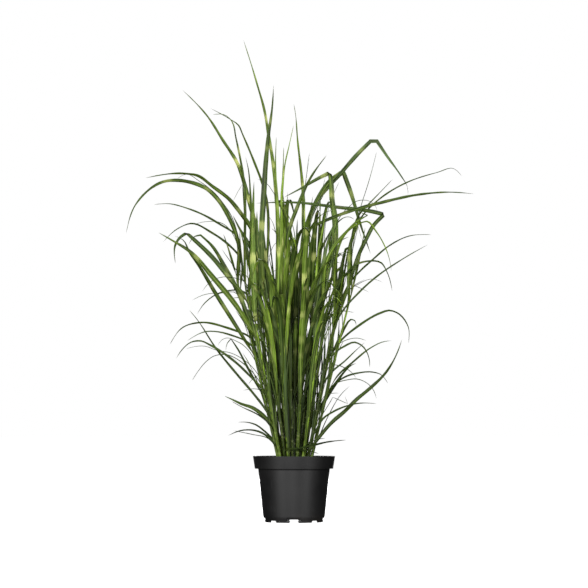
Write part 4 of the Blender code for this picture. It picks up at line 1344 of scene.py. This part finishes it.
def buildShoot(shoot, dice):
    addSpear(shoot, dice)
    parts = [fineStem(shoot, dice)] + [fineBlade(shoot, leaf, dice) for leaf in shoot["leaves"]]
    faces, slots, offset = [], [], 0
    for number, (verts, sides, _) in enumerate(parts):
        faces += [tuple(corner + offset for corner in side) for side in sides]
        slots += [1 if number == 0 else 0] * len(sides)
        offset += len(verts)
    verts = np.concatenate([part[0] for part in parts])
    piece = newPiece(shoot["name"] + "_fine", verts, faces, bladeMaterial, stemMaterial)
    mesh = piece.data
    mesh.polygons.foreach_set("material_index", slots)
    values = {}
    for name in shadeNames:
        values[name] = np.concatenate([np.broadcast_to(part[2][name], len(part[0])) for part in parts])
        attribute = mesh.attributes.new(name, "FLOAT", "POINT")
        attribute.data.foreach_set("value", values[name].astype(np.float32))
    mesh.shade_smooth()
    # both faces of a blade stay flat up to its borders
    ends = np.empty(len(mesh.edges) * 2, dtype=np.int32)
    mesh.edges.foreach_get("vertices", ends)
    border = values["across"][ends[0::2]] * values["across"][ends[1::2]] > 0.9
    mesh.attributes.new("sharp_edge", "BOOLEAN", "EDGE").data.foreach_set("value", border)
    mesh.update()
    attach(piece, "root")
    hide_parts(shoot["name"])
    return len(mesh.polygons)


fineDice = random.Random(fineForm["seed"])
faceCount = sum(buildShoot(shoot, fineDice) for shoot in shoots)
print("grass built:", faceCount, "faces")


potForm = {
    "segments": 144,
    "height": 0.152,
    "rimTop": 0.095,
    "rimLow": 0.0905,
    "rimBand": 0.029,
    "bodyTop": 0.0828,
    "heel": (0.0713, 0.0145),              # radius, height
    "waist": (0.0685, 0.008),
    "foot": 0.0673,
    "floor": 0.007,
    "wall": 0.002,
    "edgeRound": 0.0005,
    "roundedFrom": math.radians(25),
    "smoothUpTo": math.radians(35),
    "tallNotch": (0.0063, 0.0108, 0.008),  # half width above, half width below, height
    "lowNotch": (0.0078, 0.0098, 0.0042),
    "notchDepth": 0.008,
    "slot": (0.0165, 0.0045, 0.0092),      # half width, low, high
    "slotRadii": (0.057, 0.072),
    "cutBelow": 0.004,
}
potFinish = {
    "black": (0.0045, 0.0044, 0.0045, 1),
    "worn": (0.009, 0.0088, 0.0086, 1),
    "dust": (0.018, 0.015, 0.012, 1),
    "dustTop": 0.02,
    "clouds": 22,                    # scales of the broad wear, the scuffs down the wall and the grain
    "scuffs": (260, 260, 14),
    "grain": 1800,
    "roughness": (0.45, 0.52),
    "scuffedRougher": 0.25,
    "specular": 0.32,
    "corner": (0.1180, 0.1229),      # the wall mirrors less and less from this height up to the rim's ledge
    "cornerSpecular": 0.04,
    "bump": (0.12, 0.0003),
}


def makePotMaterial():
    material, tree, shader = newMaterial("blackPlastic")
    finish = potFinish
    place, parts = objectPlace(tree)
    height = parts["Z"]
    cloud, grain = noise(tree, place, finish["clouds"], 4.0), noise(tree, place, finish["grain"], 1.0)
    stretch = put(tree, "ShaderNodeMapping", {"Vector": place, "Scale": finish["scuffs"]}).outputs["Vector"]
    marks = rescale(tree, noise(tree, stretch, 1.0, 3.0), 0.62, 0.74, 0, 0.35, smooth=True)
    colour = blendColours(tree, rescale(tree, cloud, 0.4, 0.7, 0, 0.5), finish["black"], finish["worn"])
    colour = blendColours(tree, marks, colour, finish["worn"])
    foot = rescale(tree, height, 0, finish["dustTop"], 1, 0)
    foot = times(tree, foot, rescale(tree, cloud, 0.42, 0.62, 0, 0.5))
    colour = blendColours(tree, foot, colour, finish["dust"])
    rough = rescale(tree, cloud, 0.3, 0.7, *finish["roughness"])
    rough = calc(tree, "ADD", rough, times(tree, marks, finish["scuffedRougher"]))
    finishShader(tree, shader, colour, rough, grain, finish["bump"])
    # little light comes to the corner under the rim
    below = calc(tree, "LESS_THAN", height, finish["corner"][1])
    corner = times(tree, rescale(tree, height, *finish["corner"], 0, 1, smooth=True), below)
    mirrored = rescale(tree, corner, 0, 1, finish["specular"], finish["cornerSpecular"])
    shader.inputs["Specular IOR Level"].default_value = finish["specular"]
    tree.links.new(mirrored, shader.inputs["Specular IOR Level"])
    return material


def selectRing(mesh, radius, height, within=0.00005):
    for vert in mesh.verts:
        at = math.hypot(vert.co.x, vert.co.y)
        vert.select = abs(at - radius) < within and abs(vert.co.z - height) < within
    mesh.select_flush_mode()


def extrudeRings(profile):
    # the selected ring is extruded to each (radius, height) in turn
    for (radius, height), (nextRadius, nextHeight) in zip(profile, profile[1:]):
        bpy.ops.mesh.extrude_region_move(TRANSFORM_OT_translate={"value": (0, 0, nextHeight - height)})
        grow = nextRadius / radius
        bpy.ops.transform.resize(value=(grow, grow, 1), center_override=(0, 0, nextHeight))


def closeRing():
    bpy.ops.mesh.extrude_region_move()
    bpy.ops.mesh.merge(type="CENTER")


def turnedShape(name, profile, segments):
    # a closed turned form whose first and last rings are closed to the axis
    deselectAll()
    radius, height = profile[0]
    ring = {"radius": radius, "location": (0, 0, height), "fill_type": "NOTHING"}
    bpy.ops.mesh.primitive_circle_add(vertices=segments, **ring)
    shape = bpy.context.object
    shape.name = name
    bpy.ops.object.transform_apply(location=True, rotation=True, scale=True)
    bpy.ops.object.mode_set(mode="EDIT")
    bpy.ops.mesh.select_mode(type="VERT")
    extrudeRings(profile)
    closeRing()
    mesh = bmesh.from_edit_mesh(shape.data)
    selectRing(mesh, radius, height)
    bmesh.update_edit_mesh(shape.data)
    closeRing()
    bpy.ops.mesh.select_all(action="SELECT")
    bpy.ops.mesh.normals_make_consistent(inside=False)
    bpy.ops.object.mode_set(mode="OBJECT")
    return shape


def applyModifier(piece, kind, **settings):
    bpy.context.view_layer.objects.active = piece
    bpy.ops.object.modifier_add(type=kind)
    modifier = piece.modifiers[-1]
    for name, value in settings.items():
        setattr(modifier, name, value)
    bpy.ops.object.modifier_apply(modifier=modifier.name)


def drainCutter(name, halfLow, halfHigh, low, high, inner, outer, start=0):
    # four blocks standing through the foot, their upper sides drawn in
    deselectAll()
    size = (outer - inner, 2 * halfLow, high - low)
    centre = ((outer + inner) / 2, 0, (low + high) / 2)
    bpy.ops.mesh.primitive_cube_add(size=1, location=centre, scale=size)
    block = bpy.context.object
    block.name = name
    bpy.ops.object.transform_apply(location=True, rotation=True, scale=True)
    bpy.ops.object.mode_set(mode="EDIT")
    mesh = bmesh.from_edit_mesh(block.data)
    for vert in mesh.verts:
        vert.select = vert.co.z > (low + high) / 2
    mesh.select_flush_mode()
    bmesh.update_edit_mesh(block.data)
    bpy.ops.transform.resize(value=(1, halfHigh / halfLow, 1), center_override=centre)
    bpy.ops.object.mode_set(mode="OBJECT")
    block.data.transform(Matrix.Rotation(start, 4, "Z"))
    copies = []
    for number in range(1, 4):
        pick(block)
        bpy.ops.object.duplicate()
        copy = bpy.context.object
        copy.data.transform(Matrix.Rotation(number * math.pi / 2, 4, "Z"))
        copies.append(copy)
    pick(block, *copies)
    bpy.ops.object.join()
    return block


def buildPot():
    form = potForm
    ledge = form["height"] - form["rimBand"]
    wall = form["wall"]
    heel, heelHeight = form["heel"]
    waist = form["waist"][0]
    profile = (
        (waist - wall, form["floor"]),
        (form["foot"] - wall, 0),
        (form["foot"], 0),
        form["waist"],
        form["heel"],
        (form["bodyTop"], ledge),
        (form["rimLow"], ledge),
        (form["rimTop"], form["height"]),
        (form["rimTop"] - wall, form["height"]),
        (form["rimLow"] - wall, ledge + wall),
        (form["bodyTop"] - wall, ledge + wall),
        (heel - wall, heelHeight),
        (waist - wall, form["floor"] + wall),
    )
    pot = turnedShape("blackPot", profile, form["segments"])
    rounding = {"width": form["edgeRound"], "segments": 2, "angle_limit": form["roundedFrom"]}
    applyModifier(pot, "BEVEL", limit_method="ANGLE", **rounding)
    slotHalf, slotLow, slotTop = form["slot"]
    slotInner, slotOuter = form["slotRadii"]
    below = form["cutBelow"]
    cutters = [drainCutter("slots", slotHalf, slotHalf, slotLow, slotTop, slotInner, slotOuter)]
    for name, start in (("tallNotch", 0), ("lowNotch", math.pi / 4)):
        halfHigh, halfLow, top = form[name]
        halfBelow = halfLow + (halfLow - halfHigh) / top * below
        inner = slotOuter - form["notchDepth"]
        cutters.append(drainCutter(name, halfBelow, halfHigh, -below, top, inner, slotOuter, start))
    for cutter in cutters:
        applyModifier(pot, "BOOLEAN", operation="DIFFERENCE", solver="EXACT", object=cutter)
        bpy.data.objects.remove(cutter)
    pot.data.materials.clear()
    pot.data.materials.append(makePotMaterial())
    pick(pot)
    bpy.ops.object.shade_smooth_by_angle(angle=form["smoothUpTo"])
    applyModifier(pot, "WEIGHTED_NORMAL", keep_sharp=True)
    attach(pot, "root")
    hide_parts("pot")


buildPot()
print("pot built")


soilForm = {
    "segments": 96,
    "rings": 26,
    "gap": 0.0003,
    "crown": 0.002,          # how far the middle stands above the soil's height, and the edge below it
    "lumps": 0.0045,
    "lumpSize": 0.011,
    "wallClear": 0.004,
    "crumbs": {"count": 1500, "size": (0.0007, 0.0026), "flatness": 0.8, "stretch": 1.1},
    "chips": {"count": 110, "size": (0.003, 0.008), "flatness": 0.25, "stretch": 1.7},
    "jitter": (0.7, 1.25),
    "tilt": 0.5,
    "seed": 5,
}
soilFinish = {
    # darker and lighter colour, and the scale of the change between them
    "peatMix": ((0.022, 0.013, 0.008, 1), (0.070, 0.042, 0.024, 1), 160.0),
    "barkChips": ((0.030, 0.018, 0.011, 1), (0.085, 0.048, 0.026, 1), 90.0),
    "specks": 9,             # how much finer the specks are
    "speckShade": (0.6, 1.4),
    "roughness": (0.85, 1.0),
    "bump": (0.6, 0.001),
}


def makeSoilMaterial(name):
    material, tree, shader = newMaterial(name)
    dark, light, scale = soilFinish[name]
    place = put(tree, "ShaderNodeTexCoord").outputs["Object"]
    broad, fine = noise(tree, place, scale, 5.0), noise(tree, place, scale * soilFinish["specks"], 3.0)
    colour = blendColours(tree, rescale(tree, broad, 0.38, 0.66, 0, 1), dark, light)
    colour = shadeColour(tree, colour, rescale(tree, fine, 0.3, 0.7, *soilFinish["speckShade"]))
    rough = rescale(tree, fine, 0.3, 0.7, *soilFinish["roughness"])
    finishShader(tree, shader, colour, rough, fine, soilFinish["bump"])
    return material


def soilHeight(radius):
    # the top is a shallow crown that runs out at the pot's wall
    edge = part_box("potting_soil")[1].x
    return clump["soilTop"] + soilForm["crown"] * (1 - 2 * (radius / edge) ** 2)


def buildSoilBed():
    form, wall, gap = potForm, potForm["wall"], soilForm["gap"]
    floor = form["floor"] + wall + gap
    ledge = form["height"] - form["rimBand"] + wall + gap
    slope = (form["rimTop"] - form["rimLow"]) / form["rimBand"]
    edgeTop = clump["soilTop"] - soilForm["crown"]
    edgeRadius = form["rimLow"] - wall - gap + slope * (edgeTop - ledge)
    profile = [
        (form["waist"][0] - wall - gap, floor),
        (form["heel"][0] - wall - gap, form["heel"][1]),
        (form["bodyTop"] - wall - gap, ledge),
        (form["rimLow"] - wall - gap, ledge),
        (edgeRadius, edgeTop),
    ]
    for number in range(1, soilForm["rings"]):
        radius = edgeRadius * (1 - number / soilForm["rings"])
        profile.append((radius, soilHeight(radius)))
    bed = turnedShape("pottingMix", profile, soilForm["segments"])
    top = bed.vertex_groups.new(name="top")
    top.add([vert.index for vert in bed.data.vertices if vert.co.z > edgeTop + 0.0001], 1.0, "REPLACE")
    clouds = bpy.data.textures.new("soilLumps", "CLOUDS")
    clouds.noise_scale = soilForm["lumpSize"]
    clouds.noise_depth = 3
    applyModifier(
        bed, "DISPLACE", texture=clouds, direction="Z", strength=soilForm["lumps"], mid_level=0.5,
        vertex_group="top", texture_coords="LOCAL",
    )
    return bed


def addLoosePieces(name, material, dice):
    # small angular pieces from a jittered twenty-sided ball
    form = soilForm[name]
    stretch, flatness = form["stretch"], form["flatness"]
    ball = bmesh.new()
    bmesh.ops.create_icosphere(ball, subdivisions=1, radius=1)
    corners = np.array([tuple(vert.co) for vert in ball.verts])
    sides = [tuple(vert.index for vert in face.verts) for face in ball.faces]
    ball.free()
    verts, faces = [], []
    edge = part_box("potting_soil")[1].x - soilForm["wallClear"]
    for number in range(form["count"]):
        radius = edge * math.sqrt(dice.uniform(0, 1))
        angle = dice.uniform(0, math.tau)
        size = dice.uniform(*form["size"])
        shape = np.array([[dice.uniform(*soilForm["jitter"])] for _ in corners]) * corners
        shape = shape * np.array([size * stretch, size, size * flatness])
        turn = Matrix.Rotation(dice.uniform(0, math.tau), 3, "Z")
        turn = turn @ Matrix.Rotation(dice.uniform(-soilForm["tilt"], soilForm["tilt"]), 3, "X")
        height = soilHeight(radius) + size * flatness * 0.4
        place = np.array([radius * math.cos(angle), radius * math.sin(angle), height])
        verts.append(shape @ np.array(turn).T + place)
        faces += [tuple(corner + number * len(corners) for corner in side) for side in sides]
    return newPiece(name, np.concatenate(verts), faces, material)


def buildSoil():
    dice = random.Random(soilForm["seed"])
    bed = buildSoilBed()
    peat, bark = makeSoilMaterial("peatMix"), makeSoilMaterial("barkChips")
    bed.data.materials.clear()
    bed.data.materials.append(peat)
    crumbs = addLoosePieces("crumbs", peat, dice)
    chips = addLoosePieces("chips", bark, dice)
    pick(bed, crumbs, chips)
    bpy.ops.object.join()
    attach(bed, "root")
    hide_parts("potting_soil")


buildSoil()
print("soil built")

print("cad box:", [round(value, 4) for corner in cadBox for value in corner])
